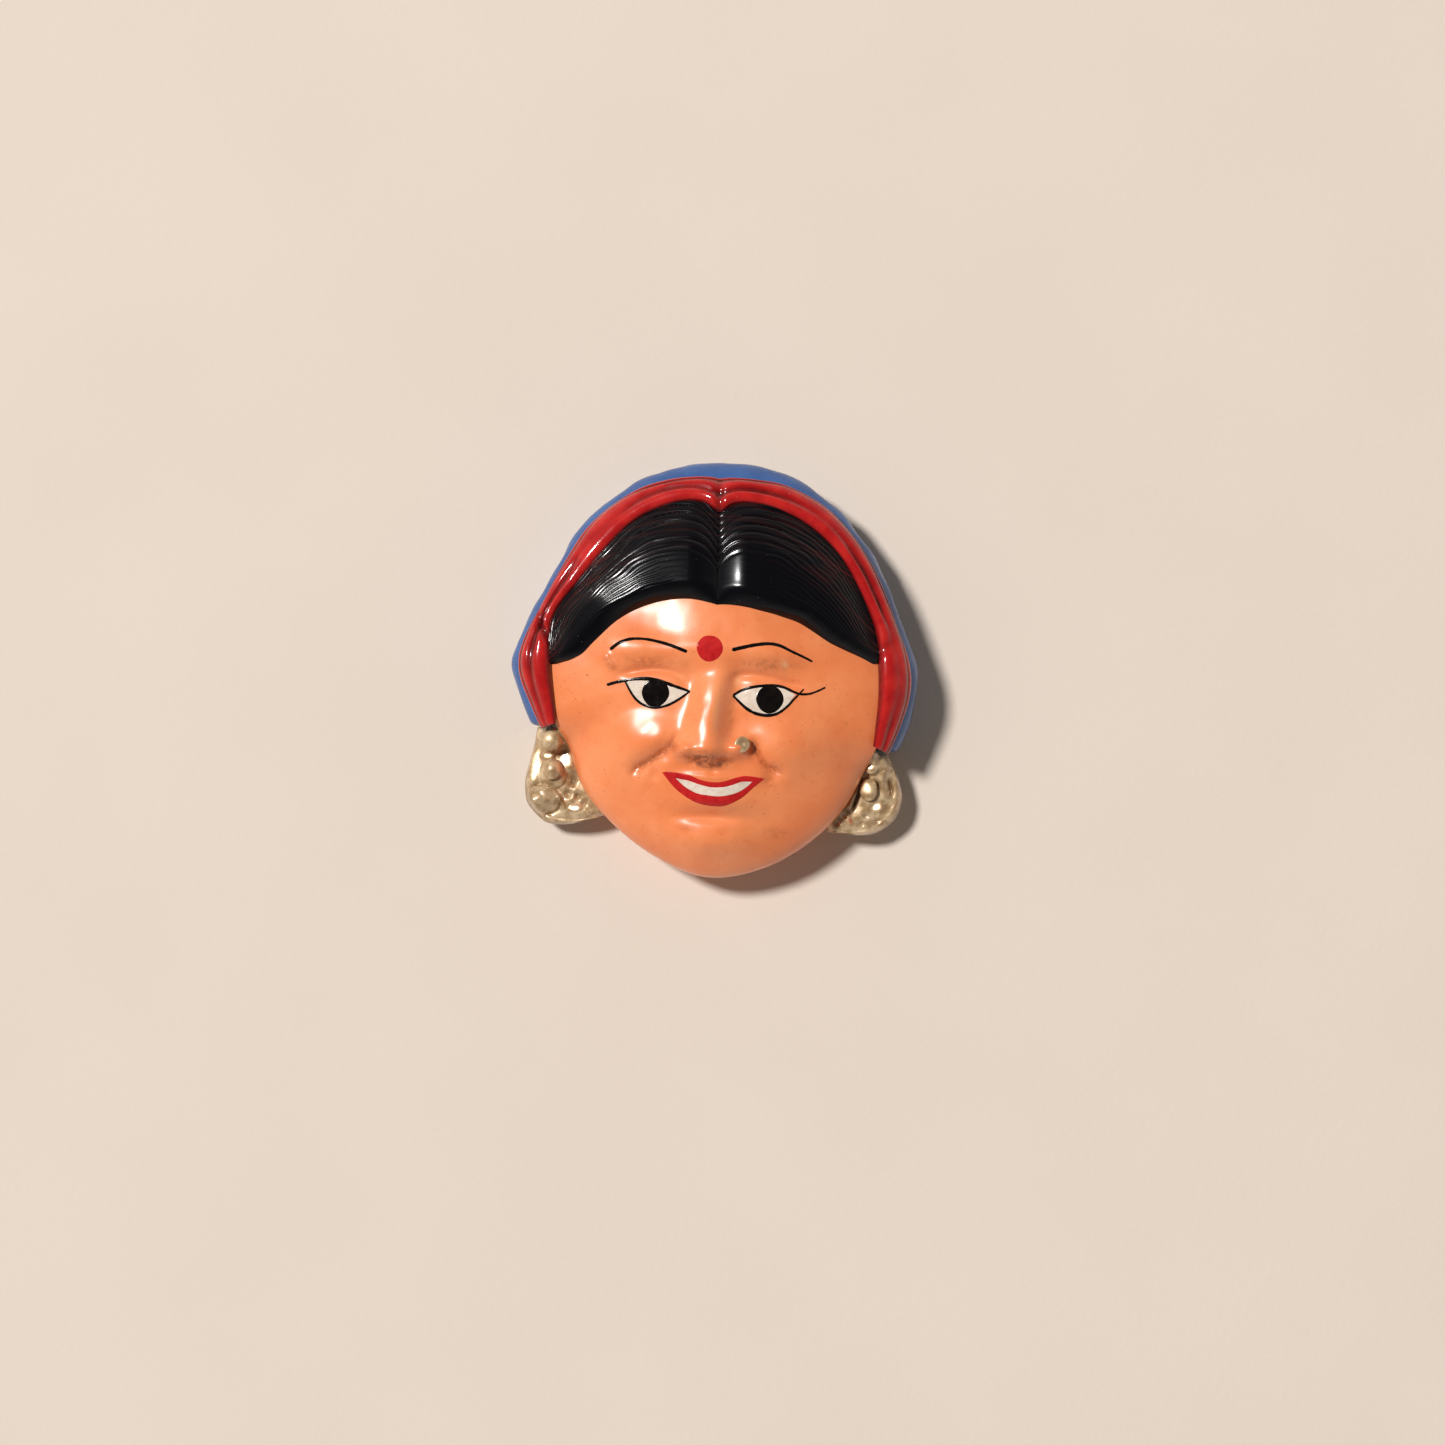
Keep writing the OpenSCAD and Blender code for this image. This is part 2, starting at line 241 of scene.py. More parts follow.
def hem_inner(a):
    return outline(HEM, a, -30) - 1.1 * bell(a - PARTING, 4)


def hem_outer(a):
    return veil_r(a) - 1.2 - 1.1 * bell(a - 88, 20)


NOSE_RISE = [(-12.6, 0), (-12, 0.12), (-11.2, 0.5), (-10.4, 0.88), (-9.6, 1), (-8, 0.91), (-5.5, 0.72),
             (-3, 0.52), (-0.5, 0.28), (2, 0.09), (4.5, 0)]
NOSE_HALF = [(-12.6, 2.5), (-9.6, 2.5), (-7, 2.25), (-4, 2), (0, 2.2), (4.5, 3)]
NOSE_LINE = [(-12, -0.3), (-9.6, -0.5), (-7, -0.9), (-4, -0.6), (0, -0.2)]
NOSE_H = 2.45
FOLD_LEFT = [(-4.5, -8.9), (-5.3, -10), (-6.7, -11.1), (-8.5, -12.3), (-10.1, -13.8)]
FOLD_RIGHT = [(4.6, -7.7), (5.2, -8.8), (5.9, -10.3), (6.8, -11.4), (8.1, -12), (9.7, -12.6)]
# each fold with the depth and half width of its hollow and of the fine line in it
FOLDS = [(FOLD_LEFT, 0.7, 1.05, 0.3, 0.35), (FOLD_RIGHT, 0.5, 0.75, 0.3, 0.25)]
LID_LEFT = [(-12.6, -1.4), (-10.4, -0.9), (-8, -0.45), (-5.8, -0.45), (-4.3, -1.1), (-3.2, -2.5)]
LID_RIGHT = [(2, -2.6), (2.4, -1), (3.9, -0.5), (6, -0.6), (9.2, -1.3), (11.8, -1.9)]

FADE = 0.2  # share of the way in from the edge over which the relief comes up
# slopes of a surface that sends the key light to the camera, and places that have them: middle, half width
LEAN_X, LEAN_Y = 0.242, -0.14
FLATS = [(-5.5, 5.9, 2.9), (-9, -6.5, 1.7), (-6.8, -8, 1.0), (-1, -3.6, 0.9), (-1.2, -7.7, 0.9)]


def moulding(x, y):
    """Height of the moulded face above the dome, before its flats are pressed in."""
    across = x - along(NOSE_LINE, y)
    ridge = np.exp(-np.abs(across / along(NOSE_HALF, y)) ** 2.6)
    z = (NOSE_H * along(NOSE_RISE, y) + 0.2 * across * smooth(y, -10, -8) * smooth(-y, -1, 1)) * ridge
    # tip of the nose, wings, nostrils and the creases beside the wings
    z += hills(x, y, (0.25, -0.5, -9.9, 1.7, 1), (1.45, -3.3, -9.9, 1.1, 0.95), (1.6, 3.2, -9.5, 1.25, 1.05),
               (-0.5, -1.9, -11.4, 0.7, 0.4), (-0.5, 1.7, -11.2, 0.8, 0.4),
               (-0.45, -4.6, -9.4, 0.5, 1.2, -20), (-0.4, 4.9, -9.4, 0.45, 1.3, 18))
    # eyes: ball, hollow beside the bridge, brow, pouch, crease above the lid and a ridge at the temple
    z += hills(x, y, *both(0.2, 6.9, -3.3, 4.6, 2.3), *both(-0.35, 2.9, -1.9, 1.2, 1.9),
               *both(0.6, 7, 2.2, 5, 1.6), *both(-0.08, 6, -6, 3.2, 1.1, 8))
    z -= 0.4 * groove(x, y, LID_LEFT, 0.55) + 0.4 * groove(x, y, LID_RIGHT, 0.55)
    z += 0.3 * groove(x, y, [(-13.6, 1.6), (-13.1, 0.3), (-12, -0.7)], 0.5)
    # cheeks and the folds of the smile
    z += hills(x, y, (1.35, -7.7, -9.2, 5.5, 4.1), (1.5, 9.5, -9, 4.9, 3.9))
    for fold, deep, half_deep, fine, half_fine in FOLDS:
        z -= deep * groove(x, y, fold, half_deep, 0.3) + fine * groove(x, y, fold, half_fine, 0.3)
    # lips, corners of the mouth, groove above the lips, hollow below them, and chin
    z += hills(x, y, (1.1, 0.5, -14.8, 6, 2.9), (0.35, 0.6, -16.1, 4, 0.8), (0.3, 0.5, -13.1, 4.8, 0.55),
               (-0.4, -6.6, -13.1, 0.9, 0.9), (-0.45, 7.4, -13.1, 0.9, 1), (-0.16, 0.3, -12.4, 0.55, 0.6),
               (-0.6, 0.6, -18, 3.8, 0.75), (1.5, 0.4, -21.4, 6, 3))
    # forehead and temple
    brow = smooth(y, -1, 3.4) * bell(y - 1, 7.3)
    z += 0.42 * (1 + np.tanh((x + 4.6) / 2.6)) * (1 - smooth(x, 3, 12)) * brow
    z += 0.55 * hill(x, y, -11.8, 2.2, 3.4, 3.6)
    # unevenness of the hand work
    xy = vectors(x, y)
    return z + 0.05 * ripple(xy, 8, 1) + 0.008 * ripple(xy, 2.4, 2)


def relief(x, y):
    """Height of the face above the dome: the moulding, with a few small flats that lean to the upper left."""
    plain, base = moulding(x, y), dome_over(x, y)
    z = plain
    for cx, cy, half in FLATS:
        middle = moulding(cx, cy) + dome_over(cx, cy)
        flat = middle + LEAN_X * (x - cx) + LEAN_Y * (y - cy) - base
        z = z + 0.62 * np.exp(-(((x - cx) ** 2 + (y - cy) ** 2) / half**2)) * (flat - plain)
    return z


def dome(share, rise):
    """Height above the widest line, at a share of the way out. Its shoulder is fuller than in the CAD."""
    s = np.clip(share, 0, 1)
    return rise * ((1 - s**DOME_P) ** DOME_Q + SHOULDER * s**8 * np.sqrt(1 - s * s))


def dome_over(x, y):
    return dome(np.hypot(x, y) / crown_r(np.degrees(np.arctan2(y, x))), DOME_H)


def face_z(x, y):
    x, y = np.asarray(x, float), np.asarray(y, float)
    share = np.hypot(x, y) / head_r(np.degrees(np.arctan2(y, x)))
    return EDGE_Z + dome_over(x, y) + relief(x, y) * smooth(1 - share, 0, FADE)


def reach(t):
    """Share of the way out at step t, closer together towards the edge."""
    return 1 - (1 - np.clip(t, 0, 1)) ** 1.4


def step_at(share):
    return 1 - (1 - np.clip(share, 0, 1)) ** (1 / 1.4)


def polar(angles, r, z):
    """Points at angles, radii and heights."""
    return vectors(r * np.cos(np.radians(angles)), r * np.sin(np.radians(angles)), z)


def shell_grid(angles, edge, rise, steps, top=None):
    """Points of a domed shell: steps run 0 to 1 over the top and on to 2 down the side wall.

    The dome's height follows the outline top, where that differs from the edge.
    """
    a = np.broadcast_to(np.asarray(angles, float)[:, None], steps.shape)
    edge = np.broadcast_to(np.asarray(edge, float)[:, None], steps.shape)
    top = edge if top is None else np.broadcast_to(np.asarray(top, float)[:, None], steps.shape)
    over = steps < 1
    drop = np.clip(steps - 1, 0, 1)
    r = np.where(over, edge * reach(steps), edge - TUCK * drop**1.5)
    z = np.where(over, EDGE_Z + dome(edge * reach(steps) / top, rise),
                 (EDGE_Z + dome(edge / top, rise)) * (1 - drop))
    return polar(a, r, z)


def face_grid(angles, steps):
    """Points of the head's shell with the face's relief on it."""
    grid = shell_grid(angles, head_r(angles), DOME_H, steps, crown_r(angles))
    x, y = grid[..., 0], grid[..., 1]
    share = np.hypot(x, y) / head_r(np.asarray(angles, float))[:, None]
    grid[..., 2] += relief(x, y) * smooth(1 - share, 0, FADE) * (steps < 1)
    return grid


def upward(grid):
    """Upward normals of a grid."""
    n = np.cross(np.gradient(grid, axis=1), np.gradient(grid, axis=0))
    return directions(n) * np.sign(n[..., 2:])


# ---- meshes ----


def add_object(name, data):
    thing = bpy.data.objects.new(name, data)
    SCENE.collection.objects.link(thing)
    return thing


def make_piece(name, points, faces, material, replaces=(), marks=None, sharp=40):
    mesh = bpy.data.meshes.new(name)
    mesh.from_pydata((np.asarray(points) * MM).tolist(), [], faces)
    mesh.polygons.foreach_set("use_smooth", [True] * len(mesh.polygons))
    mesh.set_sharp_from_angle(angle=math.radians(sharp))
    for key, values in (marks or {}).items():
        values = np.asarray(values, np.float32)
        kind, field = ("FLOAT_VECTOR", "vector") if values.ndim > 1 else ("FLOAT", "value")
        mesh.attributes.new(key, kind, "POINT").data.foreach_set(field, values.ravel())
    mesh.materials.append(material)
    mesh.update()
    piece = add_object(name, mesh)
    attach(piece, "root")
    if replaces:
        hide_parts(*replaces)
    return piece


def quads(index, after):
    """Faces between each row of point numbers and the row after it."""
    corners = [index[:, :-1], after[:, :-1], after[:, 1:], index[:, 1:]]
    return np.stack(corners, axis=-1).reshape(-1, 4)


def pad(name, upper, lower, material, replaces=(), marks=None, sharp=40):
    """Closed solid between an upper and a lower grid of points."""
    rows, cols = upper.shape[:2]
    count = rows * cols
    index = np.arange(count).reshape(rows, cols)
    top = quads(index[:-1], index[1:])
    rim = np.concatenate([index[:, 0], index[-1, 1:], index[-2::-1, -1], index[0, -2:0:-1]])
    after = np.roll(rim, -1)
    side = np.stack([after, rim, count + rim, count + after], axis=1)
    faces = np.concatenate([top[:, ::-1], top + count, side])
    points = np.concatenate([upper.reshape(-1, 3), lower.reshape(-1, 3)])
    doubled = {key: np.concatenate([np.asarray(v).reshape(count, *np.shape(v)[2:])] * 2)
               for key, v in (marks or {}).items()}
    piece = make_piece(name, points, faces.tolist(), material, replaces, doubled, sharp)
    a, b, c, d = (points[faces[:, n]] for n in range(4))
    if np.sum(np.cross(a, b) * c + np.cross(a, c) * d) < 0:
        piece.data.flip_normals()
    return piece


def round_solid(grid, foot, top):
    """Points and faces of a solid: rows of the grid go round it from foot to top, where a point closes it."""
    rows, cols = grid.shape[:2]
    count = rows * cols
    index = np.arange(count).reshape(rows, cols)
    after = np.roll(index, -1, axis=0)
    faces = quads(index, after).tolist()
    for a, b in zip(index.tolist(), after.tolist()):
        faces += [[a[0], count, b[0]], [a[-1], b[-1], count + 1]]
    return np.concatenate([grid.reshape(-1, 3), [foot, top]]), faces


# ---- materials ----


class Paint:
    """A Principled material with short ways to add nodes. Sockets and numbers mix freely."""

    def __init__(self, name, roughness=0.3, metallic=0.0, coat=0.0, coat_roughness=0.05, specular=0.5):
        self.material = bpy.data.materials.new(name)
        self.material.use_nodes = True
        self.tree = self.material.node_tree
        self.tree.nodes.clear()
        self.shader = self.node("BsdfPrincipled", {
            "Roughness": roughness, "Metallic": metallic, "Coat Weight": coat,
            "Coat Roughness": coat_roughness, "Specular IOR Level": specular})
        self.node("OutputMaterial", {"Surface": self.shader.outputs[0]})
        self.mm = self.vector("MULTIPLY", self.node("TexCoord").outputs["Object"], (1 / MM,) * 3)

    def put(self, socket, value):
        if isinstance(value, bpy.types.NodeSocket):
            self.tree.links.new(value, socket)
        elif isinstance(value, tuple) and socket.type == "RGBA" and len(value) == 3:
            socket.default_value = (*value, 1)
        else:
            socket.default_value = value

    def node(self, kind, inputs=None, **settings):
        node = self.tree.nodes.new("ShaderNode" + kind)
        for key, value in settings.items():
            setattr(node, key, value)
        for key, value in (inputs or {}).items():
            self.put(node.inputs[key], value)
        return node

    def vector(self, operation, a, b):
        return self.node("VectorMath", {0: a, 1: b}, operation=operation).outputs[0]

    def math(self, operation, a, b=0.0):
        return self.node("Math", {0: a, 1: b}, operation=operation).outputs[0]

    def times(self, a, b):
        return self.math("MULTIPLY", a, b)

    def plus(self, a, b):
        return self.math("ADD", a, b)

    def mark(self, name, output="Fac"):
        return self.node("Attribute", attribute_name=name).outputs[output]

    def noise(self, size, detail=2.0, rough=0.5, vector=None, distortion=0.0):
        """Fractal noise whose features are about size mm across."""
        inputs = {"Vector": vector or self.mm, "Scale": 1 / size, "Detail": detail, "Roughness": rough,
                  "Distortion": distortion}
        return self.node("TexNoise", inputs).outputs[0]

    def span(self, value, lo, hi, to_lo=0.0, to_hi=1.0):
        inputs = {"Value": value, "From Min": lo, "From Max": hi, "To Min": to_lo, "To Max": to_hi}
        return self.node("MapRange", inputs, interpolation_type="SMOOTHSTEP").outputs[0]

    def grain(self, detail, stretch, place=None, distortion=0.0):
        """Noise that is drawn out: the larger a number of stretch, the finer it is along that axis."""
        return self.noise(1, detail, 0.6, self.vector("MULTIPLY", place or self.mm, stretch), distortion)

    def worn(self, tone, size, swing, lo, hi):
        """Bare paper at the very back edge."""
        height = self.node("SeparateXYZ", {0: self.mm}).outputs[2]
        edge = self.span(self.plus(height, self.times(self.noise(size, 3), swing)), lo, hi)
        return self.mix(edge, tone, (0.58, 0.47, 0.34))

    def cloud(self, noise, lo, hi, to_lo=0.0, to_hi=1.0):
        """A noise, given by its arguments, with the part between lo and hi stretched out."""
        return self.span(self.noise(*noise), lo, hi, to_lo, to_hi)

    def mix(self, share, a, b):
        node = self.node("Mix", data_type="RGBA")
        self.put(node.inputs[0], share)
        self.put(node.inputs[6], a)
        self.put(node.inputs[7], b)
        return node.outputs[2]

    def specks(self, cell, radius, chance, vector=None):
        """1 on scattered specks of uneven shape, 0 elsewhere."""
        place = vector or self.mm
        bend = self.node("TexNoise", {"Vector": place, "Scale": 1.2 / radius}).outputs["Color"]
        place = self.vector("ADD", place, self.vector("MULTIPLY", bend, (2.6 * radius,) * 3))
        cells = self.node("TexVoronoi", {"Vector": place, "Scale": 1 / cell})
        keep = self.math("GREATER_THAN", self.node("SeparateColor",
                         {0: cells.outputs["Color"]}).outputs[0], 1 - chance)
        near = self.span(cells.outputs["Distance"], radius / cell, 0.6 * radius / cell)
        return self.times(near, keep)

    def finish(self, colour, bump=None, height=0.1, roughness=None):
        """Bump is a socket in 0 to 1, and height is what 1 stands for, in mm."""
        self.put(self.shader.inputs["Base Color"], colour)
        if roughness is not None:
            self.put(self.shader.inputs["Roughness"], roughness)
        if bump is not None:
            node = self.node("Bump", {"Height": bump, "Distance": height * MM, "Strength": 1.0})
            self.put(self.shader.inputs["Normal"], node.outputs[0])
        return self.material


def face_enamel():
    """Orange enamel with dust specks under the varnish, brown painted shade in its creases and painted
    highlights.
    """
    p = Paint("face_enamel", 0.34, coat=0.75, coat_roughness=0.27, specular=0.2)
    tone = p.mix(p.cloud((7, 3), 0.35, 0.68), (0.91, 0.25, 0.085), (0.97, 0.31, 0.12))
    tone = p.mix(p.cloud((1.5, 5, 0.65), 0.52, 0.8, 0, 0.4), tone, (0.78, 0.16, 0.045))
    # brown painted shade in the smile folds, under the nose, beside it and between brows and lids, with a few
    # brown smudges
    shade_and_smudges = p.times(p.mark("shade_and_smudges"), p.cloud((0.7, 4, 0.7), 0.36, 0.62, 0.25, 1.0))
    tone = p.mix(shade_and_smudges, tone, (0.26, 0.065, 0.022))
    # painted highlights on the nose bridge and around the right eye
    tone = p.mix(p.mark("painted_highlight"), tone, (0.93, 0.52, 0.26))
    dust = p.math("MAXIMUM", p.specks(0.55, 0.065, 0.55), p.specks(1.9, 0.12, 0.35))
    tone = p.mix(p.times(dust, p.cloud((1.9, 2), 0.35, 0.6, 0.35, 1.0)), tone, (0.2, 0.05, 0.02))
    tone = p.worn(tone, 1.6, -0.9, 0.35, 0.15)
    peel = p.times(p.noise(0.26, 2), p.plus(p.times(p.mark("peel"), 0.75), 0.08))
    bump = p.plus(p.plus(p.times(p.noise(0.9, 2), 0.3), peel), p.times(dust, 0.5))
    return p.finish(tone, bump, 0.035, p.cloud((2.6, 3), 0.3, 0.7, 0.3, 0.45))


def hair_enamel():
    """Black enamel that thins over a dark red undercoat along the strands."""
    p = Paint("hair_enamel", 0.25, coat=0.48, coat_roughness=0.15, specular=0.05)
    strand = p.mark("strand", "Vector")
    streak = p.grain(3, (0.2, 2.2, 1), strand)
    thin = p.times(p.mark("thin"), p.span(streak, 0.46, 0.68))
    tone = p.mix(thin, (0.0025, 0.0024, 0.004), (0.060, 0.007, 0.006))
    tone = p.mix(p.times(p.specks(0.7, 0.045, 0.35), 0.55), tone, (0.28, 0.26, 0.25))
    fine = p.grain(4, (0.3, 5, 1), strand)
    bump = p.times(p.times(fine, p.plus(p.mark("thin"), 0.45)), 0.35)
    bump = p.plus(bump, p.times(p.noise(1.6, 2), 0.06))
    return p.finish(tone, bump, 0.05, p.span(streak, 0.3, 0.8, 0.18, 0.3))


def hem_enamel():
    """Bright red enamel, darker in the grooves, folds and along both edges: a darker red wash with painted
    shade.
    """
    p = Paint("hem_enamel", 0.3, coat=0.8, coat_roughness=0.045, specular=0.1)
    tone = p.mix(p.cloud((2.4, 3), 0.35, 0.7), (0.43, 0.009, 0.010), (0.58, 0.020, 0.017))
    # darker in the grooves, folds and along both edges: a darker red wash with painted shade
    wash_and_shade = p.times(p.mark("groove"), p.cloud((1.2, 3), 0.25, 0.62, 0.7, 1.0))
    tone = p.mix(wash_and_shade, tone, (0.055, 0.002, 0.003))
    tone = p.mix(p.times(p.specks(0.9, 0.06, 0.3), 0.6), tone, (0.7, 0.45, 0.4))
    bump = p.plus(p.times(p.noise(1.1, 3), 0.4), p.times(p.noise(0.35, 2), 0.15))
    return p.finish(tone, bump, 0.06, p.cloud((1.7, 3), 0.3, 0.7, 0.2, 0.36))


def veil_enamel():
    """Blue enamel, satin where it was rubbed, worn to the paper at the back edge."""
    p = Paint("veil_enamel", 0.3, coat=0.4, coat_roughness=0.12, specular=0.15)
    tone = p.mix(p.cloud((5, 3), 0.35, 0.7), (0.028, 0.094, 0.29), (0.046, 0.13, 0.36))
    brush = p.grain(4, (0.9, 0.9, 3.5))
    tone = p.mix(p.span(brush, 0.55, 0.8, 0, 0.4), tone, (0.12, 0.28, 0.55))
    tone = p.mix(p.times(p.specks(0.8, 0.07, 0.35), 0.6), tone, (0.012, 0.03, 0.1))
    tone = p.worn(tone, 1.8, -1.1, 0.5, 0.25)
    bump = p.plus(p.times(brush, 0.5), p.times(p.noise(1.0, 2), 0.4))
    return p.finish(tone, bump, 0.05, p.cloud((2.2, 3), 0.3, 0.7, 0.26, 0.48))


def gold_paint():
    """Pale gold bronze powder in varnish: brown patina with painted shade in the hollows, painted shade at
    rims and feet.
    """
    p = Paint("gold_paint", 0.4, metallic=0.28, coat=0.8, coat_roughness=0.08)
    tone = p.mix(p.cloud((1.3, 4, 0.6), 0.35, 0.68), (0.42, 0.26, 0.12), (0.80, 0.60, 0.37))
    # brown: patina with painted shade in pits, seams and slots, painted shade on the left drop's lower dome,
    # rims and bead feet
    deep = p.times(p.mark("deep"), p.cloud((0.7, 3), 0.25, 0.65, 0.6, 1.0))
    tone = p.mix(deep, tone, (0.17, 0.085, 0.03))
    tone = p.mix(p.mark("red"), tone, (0.50, 0.06, 0.02))
    grain = p.node("TexVoronoi", {"Vector": p.mm, "Scale": 8.0}).outputs["Distance"]
    bump = p.plus(p.times(p.noise(0.7, 3, 0.6), 0.4), p.times(grain, 0.06))
    return p.finish(tone, bump, 0.032, p.cloud((1.0, 3), 0.3, 0.7, 0.3, 0.48))


def line_enamel(name, light, dark, roughness=0.2):
    """Brushed enamel of one colour, streaked a little along the way it was laid."""
    p = Paint(name, roughness, coat=0.35, coat_roughness=0.09, specular=0.1)
    tone = p.mix(p.cloud((0.7, 4, 0.6), 0.4, 0.7), light, dark)
    tone = p.mix(p.times(p.specks(0.6, 0.045, 0.3), 0.5), tone, (0.25, 0.16, 0.12))
    uneven = p.cloud((1.1, 2), 0.3, 0.7, roughness - 0.05, roughness + 0.1)
    return p.finish(tone, p.noise(0.6, 3), 0.02, uneven)


def greyboard():
    """Pulp card: flecks of fibre on a warm grey, cut clean at the edge."""
    p = Paint("greyboard", 0.9)
    tone = p.mix(p.cloud((0.9, 5, 0.7), 0.35, 0.7), (0.23, 0.19, 0.145), (0.36, 0.31, 0.25))
    fibre = p.grain(3, (0.5, 6, 2), distortion=1.5)
    tone = p.mix(p.span(fibre, 0.6, 0.75, 0, 0.6), tone, (0.50, 0.45, 0.38))
    tone = p.mix(p.specks(0.8, 0.12, 0.3), tone, (0.10, 0.08, 0.07))
    return p.finish(tone, p.plus(fibre, p.noise(0.3, 4)), 0.05)


def ferrite():
    """Sintered ferrite: charcoal grey, finely pitted and ground on the faces."""
    p = Paint("ferrite", 0.55)
    ground = p.grain(3, (0.6, 9, 9))
    tone = p.mix(p.cloud((1.5, 4), 0.3, 0.7), (0.030, 0.030, 0.033), (0.065, 0.064, 0.068))
    tone = p.mix(p.specks(0.5, 0.07, 0.35), tone, (0.012, 0.012, 0.013))
    bump = p.math("SUBTRACT", p.times(ground, 0.5), p.specks(0.5, 0.07, 0.35))
    return p.finish(tone, bump, 0.03, p.span(ground, 0.3, 0.7, 0.42, 0.62))


def floor_paint():
    """Plain pale sweep."""
    p = Paint("floor_paint", 0.85, specular=0.25)
    tone = p.mix(p.cloud((30, 3), 0.3, 0.7), (0.775, 0.675, 0.585), (0.79, 0.69, 0.60))
    return p.finish(tone, p.noise(0.8, 3), 0.03)


FACE = face_enamel()
HAIR = hair_enamel()
HEM_RED = hem_enamel()
VEIL_BLUE = veil_enamel()
GOLD = gold_paint()
BLACK = line_enamel("black_line", (0.004, 0.003, 0.003), (0.009, 0.006, 0.005), 0.12)
WHITE = line_enamel("white_enamel", (0.82, 0.71, 0.60), (0.72, 0.57, 0.46))
RED = line_enamel("red_line", (0.58, 0.020, 0.020), (0.46, 0.012, 0.014))

# ---- head ----


def face_marks(x, y):
    """Brown painted shade in the creases, with a few brown smudges; painted highlights; and where the varnish
    has orange peel.
    """
    # painted shade: smile folds, underside of the nose, temple crease, beside the wings, the nose's right
    # flank, brows and lids; brown smudges on the chin
    shade_and_smudges = 0.5 * groove(x, y, FOLD_LEFT, 0.5) + 0.4 * groove(x, y, FOLD_RIGHT, 0.45)
    shade_and_smudges += 0.6 * groove(x, y, [(-2.6, -11.1), (-0.6, -11.7), (1.5, -11.5), (3.4, -10.7)], 0.4)
    shade_and_smudges += 0.35 * groove(x, y, [(-13.6, 1.5), (-13.1, 0.2), (-12, -0.8)], 0.35)
    shade_and_smudges += hills(x, y, (0.75, -1, -10.8, 2.3, 0.75), (0.4, -4.6, -9.6, 0.7, 0.8),
                   (0.4, 4.9, -9.6, 0.6, 0.9), (0.35, -8, 0.5, 3.4, 0.8), (0.35, 6.4, 0.8, 3.6, 0.8),
                   (0.2, 2.2, -5.5, 0.5, 2.8), (0.3, -2.6, -19.4, 0.9, 0.4),
                   (0.25, 8.6, -19.6, 1.4, 0.6), (0.3, 7.6, -13.6, 0.7, 0.9, 40))
    # painted highlights on the nose bridge and around the right eye
    painted_highlight = hills(x, y, (0.6, 8.4, 1, 0.4, 0.5, 30), (0.3, 0.4, -5, 0.6, 3), (0.5, 2.9, -1.4, 0.5, 0.7))
    peel = hill(x, y, -5, 5.4, 4.5, 2.8)
    return np.clip(1.35 * shade_and_smudges, 0, 1), np.clip(painted_highlight, 0, 1), peel


def build_face():
    sectors, over_top, down_wall = 480, 120, 14
    angles = np.arange(sectors) * 360 / sectors
    steps = np.arange(1, over_top + 1) / over_top
    steps = np.append(steps, 1 + np.arange(1, down_wall + 1) / down_wall)
    steps[over_top - 1] = 0.9995
    grid = face_grid(angles, np.tile(steps, (sectors, 1)))
    # the wall is not quite true, and its back edge is rounded over
    wall = smooth(steps, 1, 1.15) * smooth(2 - steps, 0, 0.1)
    outward = directions(grid[..., :2])
    grid[..., :2] += outward * (0.10 * ripple(grid, 6, 3) * wall)[..., None]
    grid[..., :2] -= outward * (0.25 * smooth(steps, 1.93, 2.0))[None, :, None]

    def ring(inset, z):
        return polar(angles, head_r(angles) - inset, float(z))

    def cavity(share):
        z = EDGE_Z - 1 + (DOME_H + 1 - WALL) * (1 - share**DOME_P) ** DOME_Q
        return polar(angles, (head_r(angles) - WALL - 0.6) * share, z)

    seat = CARD_T + GAP
    inside = [ring(TUCK + RIM_W, 0), ring(TUCK + RIM_W, seat), ring(TUCK + RIM_W + 1, seat)]
    inside += [cavity(s) for s in (1, 0.97, 0.9, 0.75, 0.5, 0.25)]
    rings = np.concatenate([grid, np.array(inside).transpose(1, 0, 2)], axis=1)
    points, faces = round_solid(rings[:, ::-1], [0, 0, EDGE_Z + DOME_H - WALL], [0, 0, face_z(0, 0)])
    shade_and_smudges, painted_highlight, peel = face_marks(points[:, 0], points[:, 1])
    front = points[:, 2] > EDGE_Z
    return make_piece("face", points, faces, FACE, ["face_shell"],
                      {"shade_and_smudges": shade_and_smudges * front, "painted_highlight": painted_highlight * front, "peel": peel * front})


# ---- hair ----


